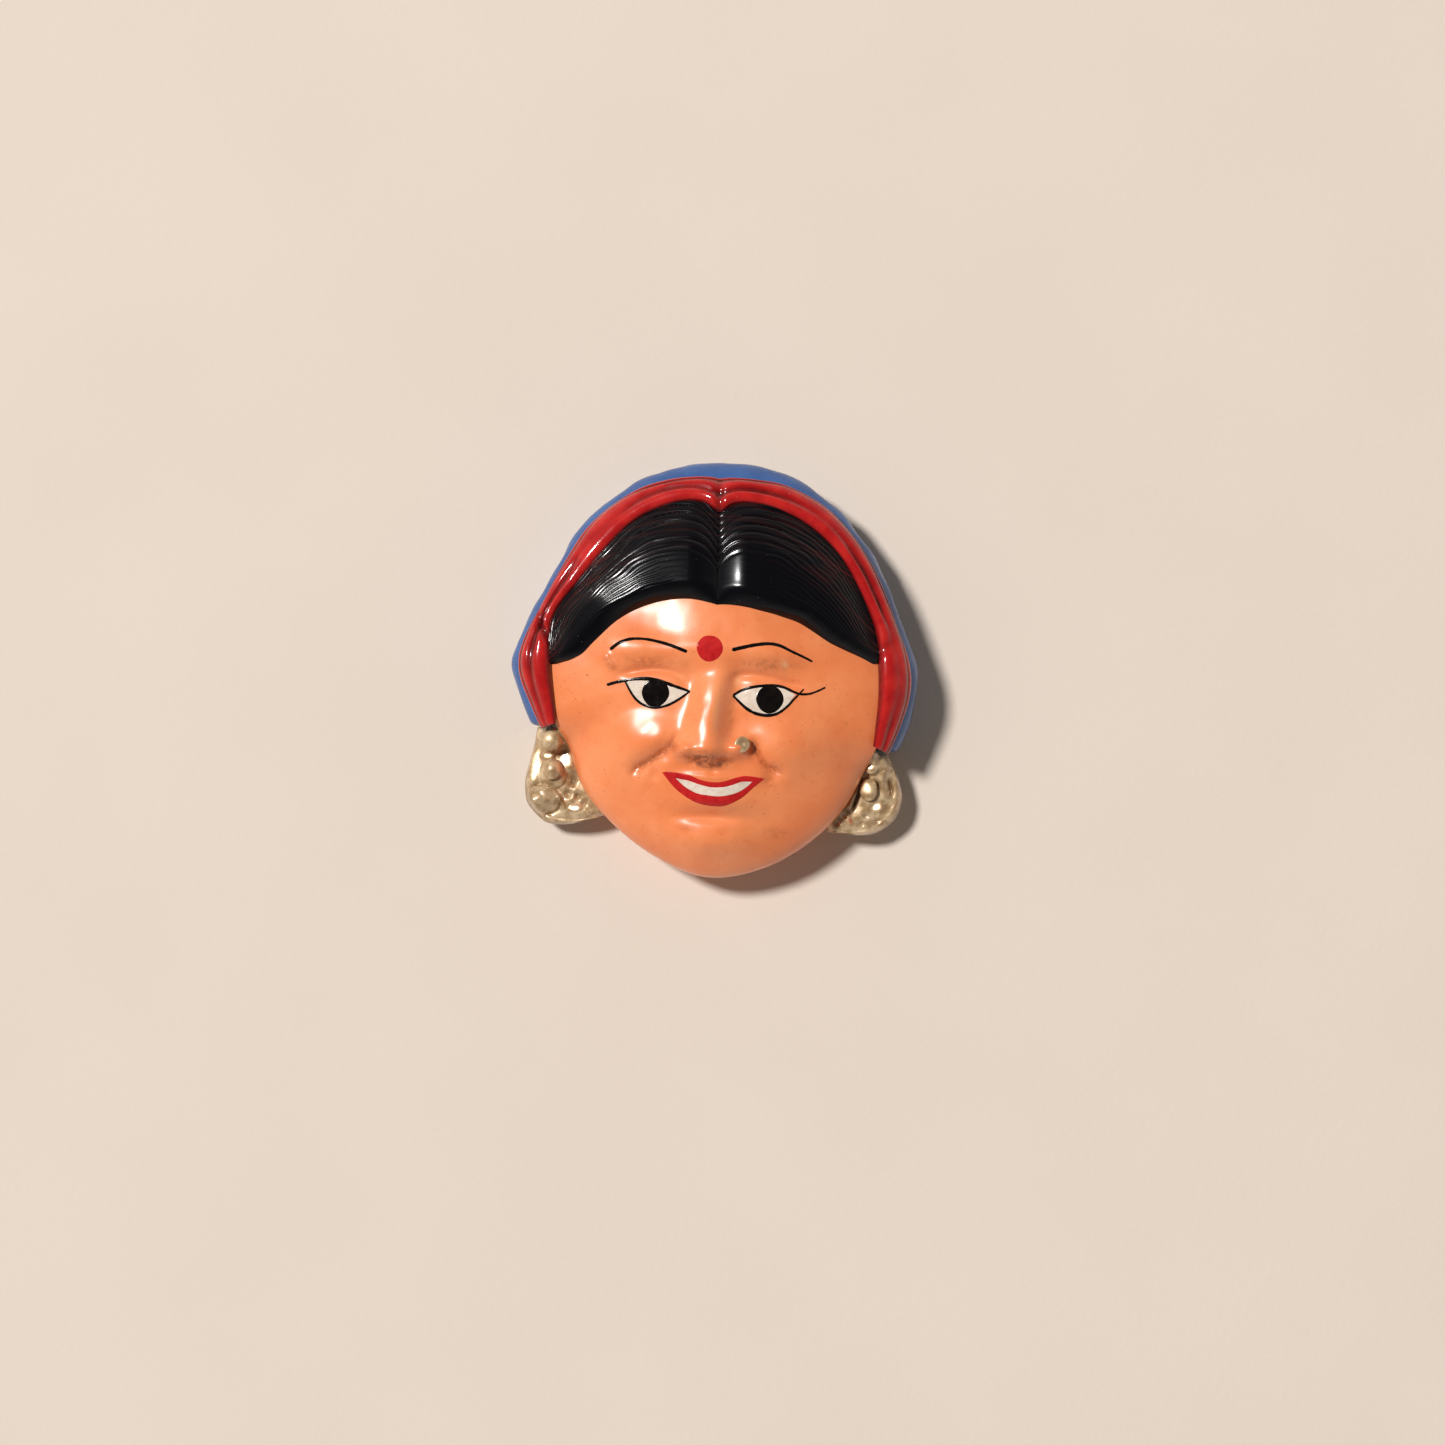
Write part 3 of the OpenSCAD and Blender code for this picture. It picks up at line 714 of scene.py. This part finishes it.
def build_hair(name, node, line, start, end, seed):
    """One combed lobe, from its outer end at start to the parting at end."""
    u, v = np.linspace(0, 1, 260), np.linspace(0, 1, 150)
    angles = start + (end - start) * u
    inner = step_at(along(line, angles) / head_r(angles))
    outer = step_at((hem_inner(angles) + 0.35) / head_r(angles))
    steps = inner[:, None] + (outer - inner)[:, None] * v
    base = face_grid(angles, steps)
    r = np.hypot(base[..., 0], base[..., 1])
    from_line = r - r[:, :1]
    bare = shell_grid(angles, head_r(angles), DOME_H, steps, crown_r(angles))
    base[..., 2] += (bare - base)[..., 2] * smooth(from_line, 0, 3.5)
    up = upward(base)
    from_end = np.radians(np.abs(angles - start))[:, None] * r
    from_parting = np.radians(np.abs(angles - end))[:, None] * r

    body = 1.85 * (1 - 0.55 * smooth(v, 0.4, 1)) * (0.5 + 0.5 * smooth(u, 0, 0.35))[:, None]
    body *= 1 - (1 - np.clip(from_line / 2.3, 0, 1)) ** 2.2
    height = 0.12 + body * (0.25 + 0.75 * quarter((from_end + 0.05) / 1.3))
    # the two lobes roll down into the parting, which ends in a narrow crease
    height *= 0.42 + 0.58 * smooth(from_parting, -1.2, 3.6)
    height -= 0.22 * np.exp(-from_parting / 0.45) * smooth(from_line, 0.2, 1.2)
    # strands: shallow grooves along the hem, which dive towards the forehead at the parting
    place = vectors(angles[:, None] * 0.25, 14 * v)
    turn = v + 0.17 * np.exp(-from_parting / 3.2) + 0.012 * ripple(place, 12, seed)
    comb = (1 - np.abs(np.cos(math.pi * turn * 11))) ** 2
    depth = smooth(turn, 0.42, 0.62) * (0.12 + 0.88 * smooth(from_parting, 15, 3))
    depth *= smooth(from_line, 1.5, 3.5) * np.clip(0.75 + 0.35 * ripple(place, 6, seed + 2), 0.2, 1)
    height -= 0.2 * comb * depth
    # finer, shallow strands away from the parting
    fine = 1 - np.abs(np.cos(math.pi * (turn + 0.01 * ripple(place, 4, seed + 4)) * 19))
    height -= 0.05 * fine * smooth(from_parting, 3, 9) * smooth(from_line, 0.6, 2)
    height += 0.012 * ripple(base, 6, seed + 3) * smooth(from_line, 0, 1.5)
    height = np.maximum(height, 0.08)
    # the undercoat shows near the hem and at the lobe's outer half
    thin = smooth(v, 0.3, 0.9)[None, :] * (0.3 + 0.7 * smooth(1 - u, 0.25, 0.7))[:, None]
    thin = np.clip(thin + 0.3 * smooth(v, 0.88, 1.0), 0, 1)
    strand = vectors((np.radians(angles) * 15)[:, None], from_line, 0.0)
    return pad(name, base + up * height[..., None], base - 0.05 * up, HAIR, [node],
               {"thin": thin, "strand": strand}, sharp=60)


# ---- veil ----


def build_hem():
    """Rolled hem: two ridges with a groove between them, folded over at both temples."""
    u, v = np.linspace(0, 1, 460), np.linspace(0, 1, 44)
    angles = VEIL_FROM + (VEIL_TO - VEIL_FROM) * u
    edge = veil_r(angles)
    inner, outer = hem_inner(angles), hem_outer(angles)
    r = inner[:, None] + (outer - inner)[:, None] * v
    base = shell_grid(angles, edge, DOME_H + VEIL_LIFT, step_at(r / edge[:, None]))
    up = upward(base)
    a = angles[:, None]
    wander = 0.05 * ripple(vectors(a * 0.4 + 0 * v, 0.0), 12, 21)
    roll = np.sqrt(np.clip(1 - np.abs(2 * v - 1) ** 2.6, 0, 1))
    height = 0.25 + 1.35 * roll * (1 - 0.25 * v)
    strength = np.clip(0.55 + 0.5 * ripple(vectors(a * 0.3, 0.0), 14, 22), 0.15, 1)
    groove_mid = bell(v - 0.47 + wander, 0.1) * strength
    groove_out = bell(v - 0.83 - wander, 0.05) * (0.5 + 0.5 * strength)
    height = height - 0.42 * groove_mid - 0.22 * groove_out
    # dip into the parting, and a slanting fold where the hem turns down beside each temple
    notch = bell(a - PARTING, 1.4) * (1 - 0.6 * v)
    fold_left = bell(a - 172.5 + 9 * v, 1.8) * smooth(1 - v, 0.1, 0.6)
    fold_right = bell(a - 9 - 5 * v, 2.2) * smooth(1 - v, 0.2, 0.8)
    height = height - 0.5 * notch - 0.75 * fold_left - 0.3 * fold_right
    height += 0.35 * bell(a - 179, 5) * bell(v - 0.6, 0.3)
    height += 0.04 * ripple(base, 5, 23)
    height *= 0.45 + 0.55 * smooth(a, VEIL_FROM, 2) * (1 - smooth(a, 183, VEIL_TO))
    # both ends are rounded off
    to_end = np.radians(np.minimum(a - VEIL_FROM, VEIL_TO - a)) * r
    height = 0.2 + (np.maximum(height, 0.25) - 0.2) * (0.35 + 0.65 * quarter(to_end / 0.9))
    # where the hem is darker: the grooves, the folds, the notch and both edges, a darker red wash with
    # painted shade
    wash_and_shade = np.clip(groove_mid * 0.95 + groove_out + 0.9 * fold_left + 0.5 * notch + 0.4 * fold_right
                   + smooth(v, 0.92, 1) + 0.8 * (1 - smooth(v, 0.0, 0.1)), 0, 1)
    return pad("hem", base + up * height[..., None], base - 0.05 * up, HEM_RED, ["veil_hem"],
               {"groove": wash_and_shade + 0 * height}, sharp=60)


def build_veil():
    """The veil starts under its hem and wraps the head down to the back."""
    foot = 1.94
    v = np.linspace(0, 1, 70)
    angles = np.linspace(VEIL_FROM, VEIL_TO, 420)

    def layer(edge, rise):
        start = step_at((hem_inner(angles) + 0.3) / edge)
        return shell_grid(angles, edge, rise, start[:, None] + (foot - start)[:, None] * v)

    upper = layer(veil_r(angles), DOME_H + VEIL_LIFT)
    lower = layer(head_r(angles), DOME_H)
    outward = directions(upper * (1, 1, 0))
    # faint folds of cloth run down the side wall
    side = smooth(EDGE_Z + 1.5 - upper[..., 2], 0, 3)
    a = angles[:, None] + 0 * v
    flute = ripple(vectors(np.radians(a) * 24, upper[..., 2] * 0.25), 6.5, 31)
    upper += outward * ((0.16 * flute * side) - 0.22 * smooth(v, 0.97, 1.0))[..., None]
    upper += outward * (0.05 * ripple(upper, 3, 32) * side)[..., None]
    lower += 0.06 * outward
    # its two cut ends are rounded off
    to_end = np.radians(np.minimum(a - VEIL_FROM, VEIL_TO - a)) * np.hypot(upper[..., 0], upper[..., 1])
    upper = lower + (upper - lower) * (0.12 + 0.88 * quarter(to_end / 1.2))[..., None]
    return pad("veil_cloth", upper, lower, VEIL_BLUE, ["veil"], sharp=50)


# ---- earrings ----


def cap(x, y, cx, cy, rx, ry=None):
    """Raised oval cushion with a clear edge."""
    return np.clip(1 - ((x - cx) / rx) ** 2 - ((y - cy) / (ry or rx)) ** 2, 0, 1) ** 0.6


def press(grid, cx, cy, rx, ry, turn, lift):
    """Flatten an oval patch of a surface, so that it leans to the upper left."""
    x, y, z = (grid[..., n] for n in range(3))
    u, v = turned(x, y, cx, cy, turn)
    patch = 0.96 * np.exp(-(((u / rx) ** 2 + (v / ry) ** 2) ** 3))
    middle = z.flat[np.argmin((x - cx) ** 2 + (y - cy) ** 2)] + lift
    grid[..., 2] = z + patch * (middle + LEAN_X * (x - cx) + LEAN_Y * (y - cy) - z)


def left_detail(x, y, v):
    """Height of the left drop's ornament, where it is browned by patina and painted shade, and a smear of
    red.
    """
    z = 1.0 * cap(x, y, -20.5, -17.1, 2.3, 1.8) + 0.75 * cap(x, y, -19.4, -13.9, 1.85)
    z += 0.35 * groove(x, y, [(-18.7, -16.2), (-18.1, -17.3), (-17.7, -18.4)], 0.22, 0.2)
    z += 0.35 * bell(v - 0.9, 0.07) * smooth(-y, 14, 17)
    pits = hills(x, y, (0.9, -16.9, -14.6, 0.42, 0.8, -15), (0.7, -17.4, -16.2, 0.5, 0.5),
                 (0.6, -16.2, -16.4, 0.35, 0.45), (0.4, -15.4, -17.3, 0.3, 0.3),
                 (0.5, -19.1, -11.5, 0.3, 0.5))
    seam = bell(np.hypot((x + 20.5) / 2.45, (y + 17.1) / 1.95) - 1, 0.13)
    z = z - 0.75 * pits - 0.14 * seam
    smear = 0.9 * hill(x, y, -18.6, -13.3, 0.35, 0.8, -20)
    # brown: patina with painted shade in the pits and seam, and painted shade over the lower dome
    return z, 0.9 * pits + 0.3 * seam + 0.5 * cap(x, y, -20.5, -17.1, 2.3, 1.8), smear


def right_detail(x, y, v):
    slot = groove(x, y, [(22, -11.7), (22.4, -13.2), (22.7, -15)], 0.3, 0.4)
    channel = groove(x, y, [(19.1, -12.1), (18.6, -14), (17.7, -17)], 0.24, 0.3)
    z = 0.55 * groove(x, y, [(21.4, -9.2), (21.6, -10.4), (22.1, -11.4)], 0.55, 0.1)
    z += 0.4 * groove(x, y, [(21.9, -11), (21.2, -12.5), (21.5, -13.6), (22.2, -14.9)], 0.35, 0.2)
    z += 0.3 * groove(x, y, [(19, -12.4), (18.2, -14.2), (17.2, -16.6)], 0.3, 0.2)
    z += 0.3 * bell(v - 0.9, 0.08)
    pits = hills(x, y, (0.8, 20.7, -13.1, 0.5, 0.45), (0.8, 20.6, -9.9, 0.4, 0.6, 20),
                 (0.5, 19.5, -17.1, 0.35, 0.3), (0.7, 19.1, -18, 0.33, 0.33), (0.4, 20.9, -17.6, 0.35, 0.3),
                 (0.5, 16.8, -17.2, 0.35, 0.28), (0.4, 16.1, -18.1, 0.3, 0.25))
    z = z - 0.6 * slot - 0.6 * channel - 0.5 * pits
    # the second value browns the slot, the channel and the pits: patina with painted shade
    return z, 0.9 * slot + 0.9 * channel + 0.8 * pits, 0.7 * hill(x, y, 17.7, -17.8, 0.22, 0.4, 20)


def build_drop(name, node, line, detail, seed, over=0.0, climb=0.0, flats=()):
    """A cast drop: ornament on the front, thick where it meets the jaw and round at the rim.

    Its neck may reach over the edge of the face by some mm, and climb by some mm there.
    """
    u = np.linspace(0, 1, 240)[:, None]
    v = np.linspace(0, 1, 120)[None, :] ** 0.8
    angles = line[0][0] + (line[-1][0] - line[0][0]) * u
    rim = along(sorted(line), angles)

    ends = quarter(np.minimum(u, 1 - u) / 0.14 + 0.02)
    thick = 0.2 + (DROP_T / 2 - 0.2) * np.sqrt(np.clip(1 - v**3.4, 0, 1)) * ends
    neck = 1 - smooth(u, 0.05, 0.36)

    def place(z, reach_in=0.0):
        inner = head_r(angles) - TUCK * np.clip(1 - z / EDGE_Z, 0, 1) ** 1.5 + 0.03 - reach_in * neck
        return polar(angles, inner + (rim - inner) * v, z)

    flat = place(DROP_Z + thick, over)
    flat[..., 2] += climb * neck * (1 - smooth(v, 0, 0.95))
    raised, deep, red = detail(flat[..., 0], flat[..., 1], v + 0 * u)
    inside = smooth(1 - v, 0, 0.1) * smooth(np.minimum(u, 1 - u), 0, 0.04)
    flat[..., 2] += raised * inside
    uneven = 0.07 * ripple(flat, 2.6, seed) + 0.012 * ripple(flat, 0.9, seed + 1)
    flat[..., 2] += uneven * (0.3 + 0.7 * inside)
    for patch in flats:
        press(flat, *patch)
    under = place(DROP_Z - thick)
    under[..., 2] += 0.08 * ripple(under, 2.5, seed + 2)
    # browner towards the rim, where the edge turns down: painted shade
    low = np.clip(deep + 0.6 * smooth(v, 0.93, 1) + 0 * u, 0, 1)
    return pad(name, flat, under, GOLD, [node], {"deep": low, "red": np.clip(red, 0, 1)}, sharp=70)


def build_bead(name, node, centre, radii, seed, lean=(0, 0, 0), pit=None, blunt=False):
    """A cast bead, flat where it sits. It leans by angles, and may be blunt or have a pit (x, y, depth)."""
    sectors = 80
    rise = np.linspace(-0.35 * math.pi, 0.5 * math.pi, 48)[:-1]
    unit = polar(np.arange(sectors)[:, None] * 360 / sectors, np.cos(rise), np.sin(rise))
    shape = unit.shape
    unit = np.concatenate([unit.reshape(-1, 3), [[0, 0, 1]]])
    if blunt:
        unit[:, 2] = np.where(unit[:, 2] > 0, quarter(unit[:, 2] ** 2), unit[:, 2])
    body = unit * (1 + 0.035 * ripple(unit, 1.5, seed))[:, None] * radii
    hollow = np.zeros(len(unit))
    if pit:
        hollow = hill(unit[:, 0], unit[:, 1], pit[0], pit[1], 0.55, 0.5) * (unit[:, 2] > 0)
        body[:, 2] -= pit[2] * hollow
    grid = body[:-1].reshape(shape)
    points, faces = round_solid(grid, grid[:, 0].mean(axis=0), body[-1])
    points = points @ np.array(Euler(np.radians(lean)).to_matrix()).T + centre
    # browner round the foot of each bead and in its pit: painted shade
    foot = smooth(-rise, -0.2, 0.5)
    deep = 0.8 * np.append(np.tile(foot, sectors), [1, 0]) + 0.55 * np.insert(hollow, -1, 0)
    deep = np.clip(deep, 0, 1)
    return make_piece(name, points, faces, GOLD, [node], {"deep": deep, "red": 0 * deep})


# ---- painted features ----

FILM = 0.045  # thickness of a layer of paint
EDGE = 0.008  # its height at the very edge
UNDER = -0.06  # how far its underside lies below the face
LAYER = 0.03  # rise of each further layer


def on_face(x, y, lift):
    """Points the given distance off the face."""
    x, y = np.asarray(x, float), np.asarray(y, float)
    e = 0.05
    gx = (face_z(x + e, y) - face_z(x - e, y)) / (2 * e)
    gy = (face_z(x, y + e) - face_z(x, y - e)) / (2 * e)
    off = directions(vectors(-gx, -gy, 1.0)) * np.asarray(lift, float)[..., None]
    return vectors(x, y, face_z(x, y)) + off


def film(name, x, y, material, layer=0):
    """A layer of paint over a grid of places on the face, thinning at its edges."""
    rows, cols = x.shape
    u = np.linspace(-1, 1, rows)[:, None]
    v = np.linspace(-1, 1, cols)[None, :]
    edge = np.sqrt(np.clip((1 - v**8) * (1 - u**30), 0, 1))
    lift = layer * LAYER + EDGE + FILM * edge
    return pad(name, on_face(x, y, lift), on_face(x, y, UNDER), material, sharp=80)


def stroke(name, points, widths, material, layer=0, seed=0):
    """A brush line through points, whose width follows (share, width) pairs, with rounded ends."""
    count = 110
    line = path(points, count)
    s = np.linspace(0, 1, count)
    length = np.linalg.norm(np.diff(line, axis=0), axis=1).sum()
    w = along(widths, s) * (1 + 0.07 * ripple(vectors(s * length, 0.0), 0.9, 40 + seed))
    tip = np.minimum(s, 1 - s) * length / (w / 2)
    w = w * quarter(np.maximum(tip, 0.02))
    t = directions(np.gradient(line, axis=0))
    side = vectors(-t[:, 1], t[:, 0])
    v = np.linspace(-0.5, 0.5, 9)
    xy = line[:, None, :] + side[:, None, :] * (w[:, None] * v)[..., None]
    return film(name, xy[..., 0], xy[..., 1], material, layer)


def fill(name, low, high, material, layer=0, rows=90, cols=40):
    """Paint between two edges that share their ends."""
    a, b = path(low, rows), path(high, rows)
    v = np.linspace(0.01, 0.99, cols)[None, :, None]
    xy = a[:, None, :] * (1 - v) + b[:, None, :] * v
    return film(name, xy[..., 0], xy[..., 1], material, layer)


def disc(name, centre, rx, ry, material, layer=0, low=None, high=None):
    """A hand-painted dot, cut off by the lids when their edges are given."""
    rings, sectors = 26, 90
    turn = np.linspace(0, 2 * math.pi, sectors, endpoint=False)
    rho = np.linspace(0, 1, rings + 1)[1:]
    wobble = 1 + 0.02 * ripple(vectors(np.cos(turn), np.sin(turn)), 1.1, 60)
    x = centre[0] + rx * np.outer(wobble * np.cos(turn), rho)
    y = centre[1] + ry * np.outer(wobble * np.sin(turn), rho)
    if low is not None:
        lids = [line[np.argsort(line[:, 0])].T for line in (path(low, 200), path(high, 200))]
        y = np.clip(y, np.interp(x, *lids[0]) + 0.05, np.interp(x, *lids[1]) - 0.05)
    lift = layer * LAYER + EDGE + FILM * np.sqrt(1 - rho**10)
    grid = np.concatenate([on_face(x, y, lift), on_face(x[:, -1:], y[:, -1:], UNDER)], axis=1)
    top, foot = on_face([centre[0]] * 2, [centre[1]] * 2, [lift[0], UNDER])
    return make_piece(name, *round_solid(grid[:, ::-1], foot, top), material)


EYES = {
    "left": {
        "upper": [(-3, -2.9), (-4.7, -2.4), (-6.1, -2), (-7.5, -1.7), (-9.1, -1.7), (-10.8, -2.1)],
        "lower": [(-3, -2.9), (-4.5, -4.1), (-5.7, -4.7), (-6.8, -5), (-8, -4.9), (-9, -4.5), (-9.9, -3.6),
                  (-10.8, -2.1)],
        "iris": (-7.1, -3.3),
        "lash": [(-2.9, -2.9), (-4.6, -2.4), (-6.1, -1.95), (-7.5, -1.65), (-9.1, -1.65), (-10.8, -1.95),
                 (-11.9, -2.2), (-13.1, -2.6)],
        "lash_widths": [(0, 0.3), (0.25, 0.4), (0.5, 0.46), (0.75, 0.34), (1, 0.36)],
        "under": [(-2.9, -2.85), (-3.7, -3.5), (-4.6, -4.15), (-5.7, -4.75), (-6.9, -5.05), (-8, -4.95),
                  (-9, -4.5), (-9.9, -3.6), (-10.9, -2)],
        "under_widths": [(0, 0.24), (0.35, 0.3), (0.7, 0.32), (1, 0.22)],
    },
    "right": {
        "upper": [(2.4, -3.1), (3.4, -2.5), (4.6, -2.1), (5.8, -1.8), (7.2, -1.7), (8.4, -1.9), (9.9, -2.6)],
        "lower": [(2.4, -3.1), (3.2, -3.8), (4, -4.5), (5.1, -5), (6.5, -5.2), (7.8, -4.9), (8.9, -4.1),
                  (9.9, -2.6)],
        "iris": (6.8, -3.35),
        "lash": [(2.3, -3.1), (3.3, -2.45), (4.5, -2), (5.8, -1.75), (7.2, -1.65), (8.4, -1.8), (9.6, -2.25),
                 (10.5, -2.5), (11.6, -2.4), (12.7, -1.95), (13.5, -1.5)],
        "lash_widths": [(0, 0.3), (0.35, 0.36), (0.6, 0.3), (0.8, 0.24), (1, 0.2)],
        "under": [(2.3, -3.1), (3.2, -3.9), (4, -4.55), (5.1, -5.1), (6.5, -5.3), (7.8, -5), (8.9, -4.15),
                  (9.8, -3.1), (10.9, -1.85)],
        "under_widths": [(0, 0.26), (0.35, 0.4), (0.7, 0.28), (1, 0.16)],
    },
}
IRIS_R = 1.68


def paint_features():
    for side, eye in EYES.items():
        fill(f"{side}_eye_white", eye["lower"], eye["upper"], WHITE)
        disc(f"{side}_iris", eye["iris"], IRIS_R, IRIS_R, BLACK, 1, eye["lower"], eye["upper"])
        stroke(f"{side}_lash_line", eye["lash"], eye["lash_widths"], BLACK, 2, len(side))
        stroke(f"{side}_under_line", eye["under"], eye["under_widths"], BLACK, 2, len(side) + 7)
    stroke("left_brow", [(-12.9, 1.7), (-11.8, 2.6), (-10.5, 3.1), (-8.9, 3.2), (-7.3, 3), (-5.6, 2.6),
                         (-3.5, 1.9)],
           [(0, 0.44), (0.15, 0.4), (0.45, 0.33), (0.75, 0.42), (1, 0.42)], BLACK, seed=3)
    stroke("right_brow", [(1.9, 2.4), (3.3, 2.8), (4.9, 3.2), (6.5, 3.4), (7.8, 3.2), (9.2, 2.6), (10.7, 2),
                          (11.8, 1.5)],
           [(0, 0.48), (0.25, 0.44), (0.5, 0.4), (0.8, 0.32), (1, 0.26)], BLACK, seed=4)
    disc("bindi", (-0.8, 2.45), 1.56, 1.58, RED)
    lips_top = [(-5.8, -12.9), (-5.1, -12.75), (-3.5, -12.85), (-2.3, -13.05), (-1.1, -13.5), (0.3, -13.7),
                (1.6, -13.6), (3, -13.1), (4.1, -12.8), (5.2, -12.8), (6.7, -13)]
    lips_low = [(-5.8, -12.9), (-5.2, -13.6), (-4.3, -14.6), (-3.3, -15.4), (-1.9, -16.2), (-0.5, -16.6),
                (0.9, -16.7), (2, -16.6), (3.1, -16.1), (4.2, -15.4), (5.3, -14.3), (6.7, -13)]
    teeth_top = [(-4.1, -13.5), (-2.5, -13.7), (-1.1, -14.1), (0.3, -14.35), (1.7, -14.25), (2.8, -13.95),
                 (3.9, -13.5), (5.2, -13.45)]
    teeth_low = [(-4.1, -13.5), (-2.9, -14.5), (-1.5, -15.2), (-0.1, -15.4), (1.3, -15.45), (2.6, -15.2),
                 (3.7, -14.75), (4.6, -14.1), (5.2, -13.45)]
    fill("lips", lips_low, lips_top, RED)
    fill("teeth", teeth_low, teeth_top, WHITE, 1)


# ---- carried-over nodes, stage, light and camera ----


def dress_frame():
    looks = {"backing_card": greyboard(), "magnet_cup": greyboard(), "magnet": ferrite()}
    for node, material in looks.items():
        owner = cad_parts[node]
        owner.data.materials.clear()
        owner.data.materials.append(material)


def build_stage():
    half = 1.5  # metres
    mesh = bpy.data.meshes.new("floor")
    corners = [(-half, -half, 0), (half, -half, 0), (half, half, 0), (-half, half, 0)]
    mesh.from_pydata(corners, [], [(0, 1, 2, 3)])
    mesh.materials.append(floor_paint())
    floor = add_object("floor", mesh)


def build_light():
    """One key from the upper left, under a studio that is dark overhead and brighter towards the horizon."""
    key = bpy.data.lights.new("key", "AREA")
    key.shape, key.size, key.energy = "DISK", 0.6, 156
    key.color = (1.0, 0.985, 0.965)
    lamp = add_object("key", key)
    away = Vector((-0.45, 0.26, 0.86)).normalized()
    lamp.location = 4.0 * away + Vector((0, 0, 0.008))
    lamp.rotation_mode = "QUATERNION"
    lamp.rotation_quaternion = away.to_track_quat("Z", "Y")
    world = bpy.data.worlds.new("studio")
    SCENE.world = world
    world.use_nodes = True
    tree = world.node_tree
    kinds = ("TexCoord", "SeparateXYZ", "MapRange")
    place, split, ramp = (tree.nodes.new("ShaderNode" + kind) for kind in kinds)
    for socket, value in ((1, 0.0), (2, 0.8), (3, 0.62), (4, 0.07)):
        ramp.inputs[socket].default_value = value
    background = tree.nodes["Background"]
    background.inputs[0].default_value = (1.0, 0.92, 0.84, 1)
    tree.links.new(place.outputs["Generated"], split.inputs[0])
    tree.links.new(split.outputs[2], ramp.inputs[0])
    tree.links.new(ramp.outputs[0], background.inputs[1])


def build_camera():
    """Straight down on the mask, rolled a little, with the mask above the middle of the picture."""
    width = 178.4 * MM  # of the floor, across the picture
    roll = math.radians(3)
    lens, sensor = 100.0, 36.0
    right = np.array([math.cos(roll), math.sin(roll)])
    up = np.array([-math.sin(roll), math.cos(roll)])
    middle = np.array([(cad_lo.x + cad_hi.x) / 2, (cad_lo.y + cad_hi.y) / 2])
    aim = middle + 0.86 * MM * right - 6.48 * MM * up
    camera = bpy.data.cameras.new("camera")
    camera.lens, camera.sensor_width = lens, sensor
    camera.clip_start, camera.clip_end = 0.01, 10
    rig = add_object("camera", camera)
    rig.location = (aim[0], aim[1], width * lens / sensor + EDGE_Z * MM)
    rig.rotation_euler = (0, 0, roll)
    SCENE.camera = rig


build_camera()
build_light()
build_stage()
SCENE.view_settings.view_transform = "Standard"

build_face()
build_hair("hair_left_lobe", "hair_left", HAIRLINE_LEFT, 181, PARTING + 0.05, 10)
build_hair("hair_right_lobe", "hair_right", HAIRLINE_RIGHT, 5, PARTING - 0.05, 14)
build_veil()
build_hem()
build_drop("left_drop", "left_earring", DROP_LEFT, left_detail, 50, 1.3, 4.2,
           [(-21.6, -12.9, 0.85, 2.8, -8, 0.2), (-20.2, -11.7, 0.8, 0.45, 0, 0.1),
            (-17.9, -11.9, 0.9, 1.6, 22, 0.2), (-16.5, -18, 0.9, 0.45, 8, 0.2)])
build_drop("right_drop", "right_earring", DROP_RIGHT[::-1], right_detail, 54, 0.3, 3.0,
           [(20.9, -15.9, 0.8, 0.6, 0, 0.05)])
build_bead("left_knob", "left_ear_stud", (-19.75, -9.6, 7.9), (1.5, 1.5, 1.3), 70, (-8, -14, 0))
build_bead("left_bead", "left_ear_bead", (-19.5, -13.3, 6.8), (1.25, 1.25, 1.2), 72)
build_bead("right_knob", "right_ear_stud", (19.9, -11.0, 6.9), (0.9, 0.9, 0.7), 74, (-8, -14, 0), blunt=True)
build_bead("right_bead", "right_ear_bead", (19.7, -13.8, 6.3), (1.1, 1.4, 0.8), 76, (-8, -14, 0), blunt=True)
STUD = (3.7, -9.0)
build_bead("nose_stud_bead", "nose_stud", (*STUD, float(face_z(*STUD)) - 0.05), (1.0, 0.96, 0.4), 78,
           (0, 12, 0), (-0.1, 0.16, 0.24))
paint_features()
dress_frame()
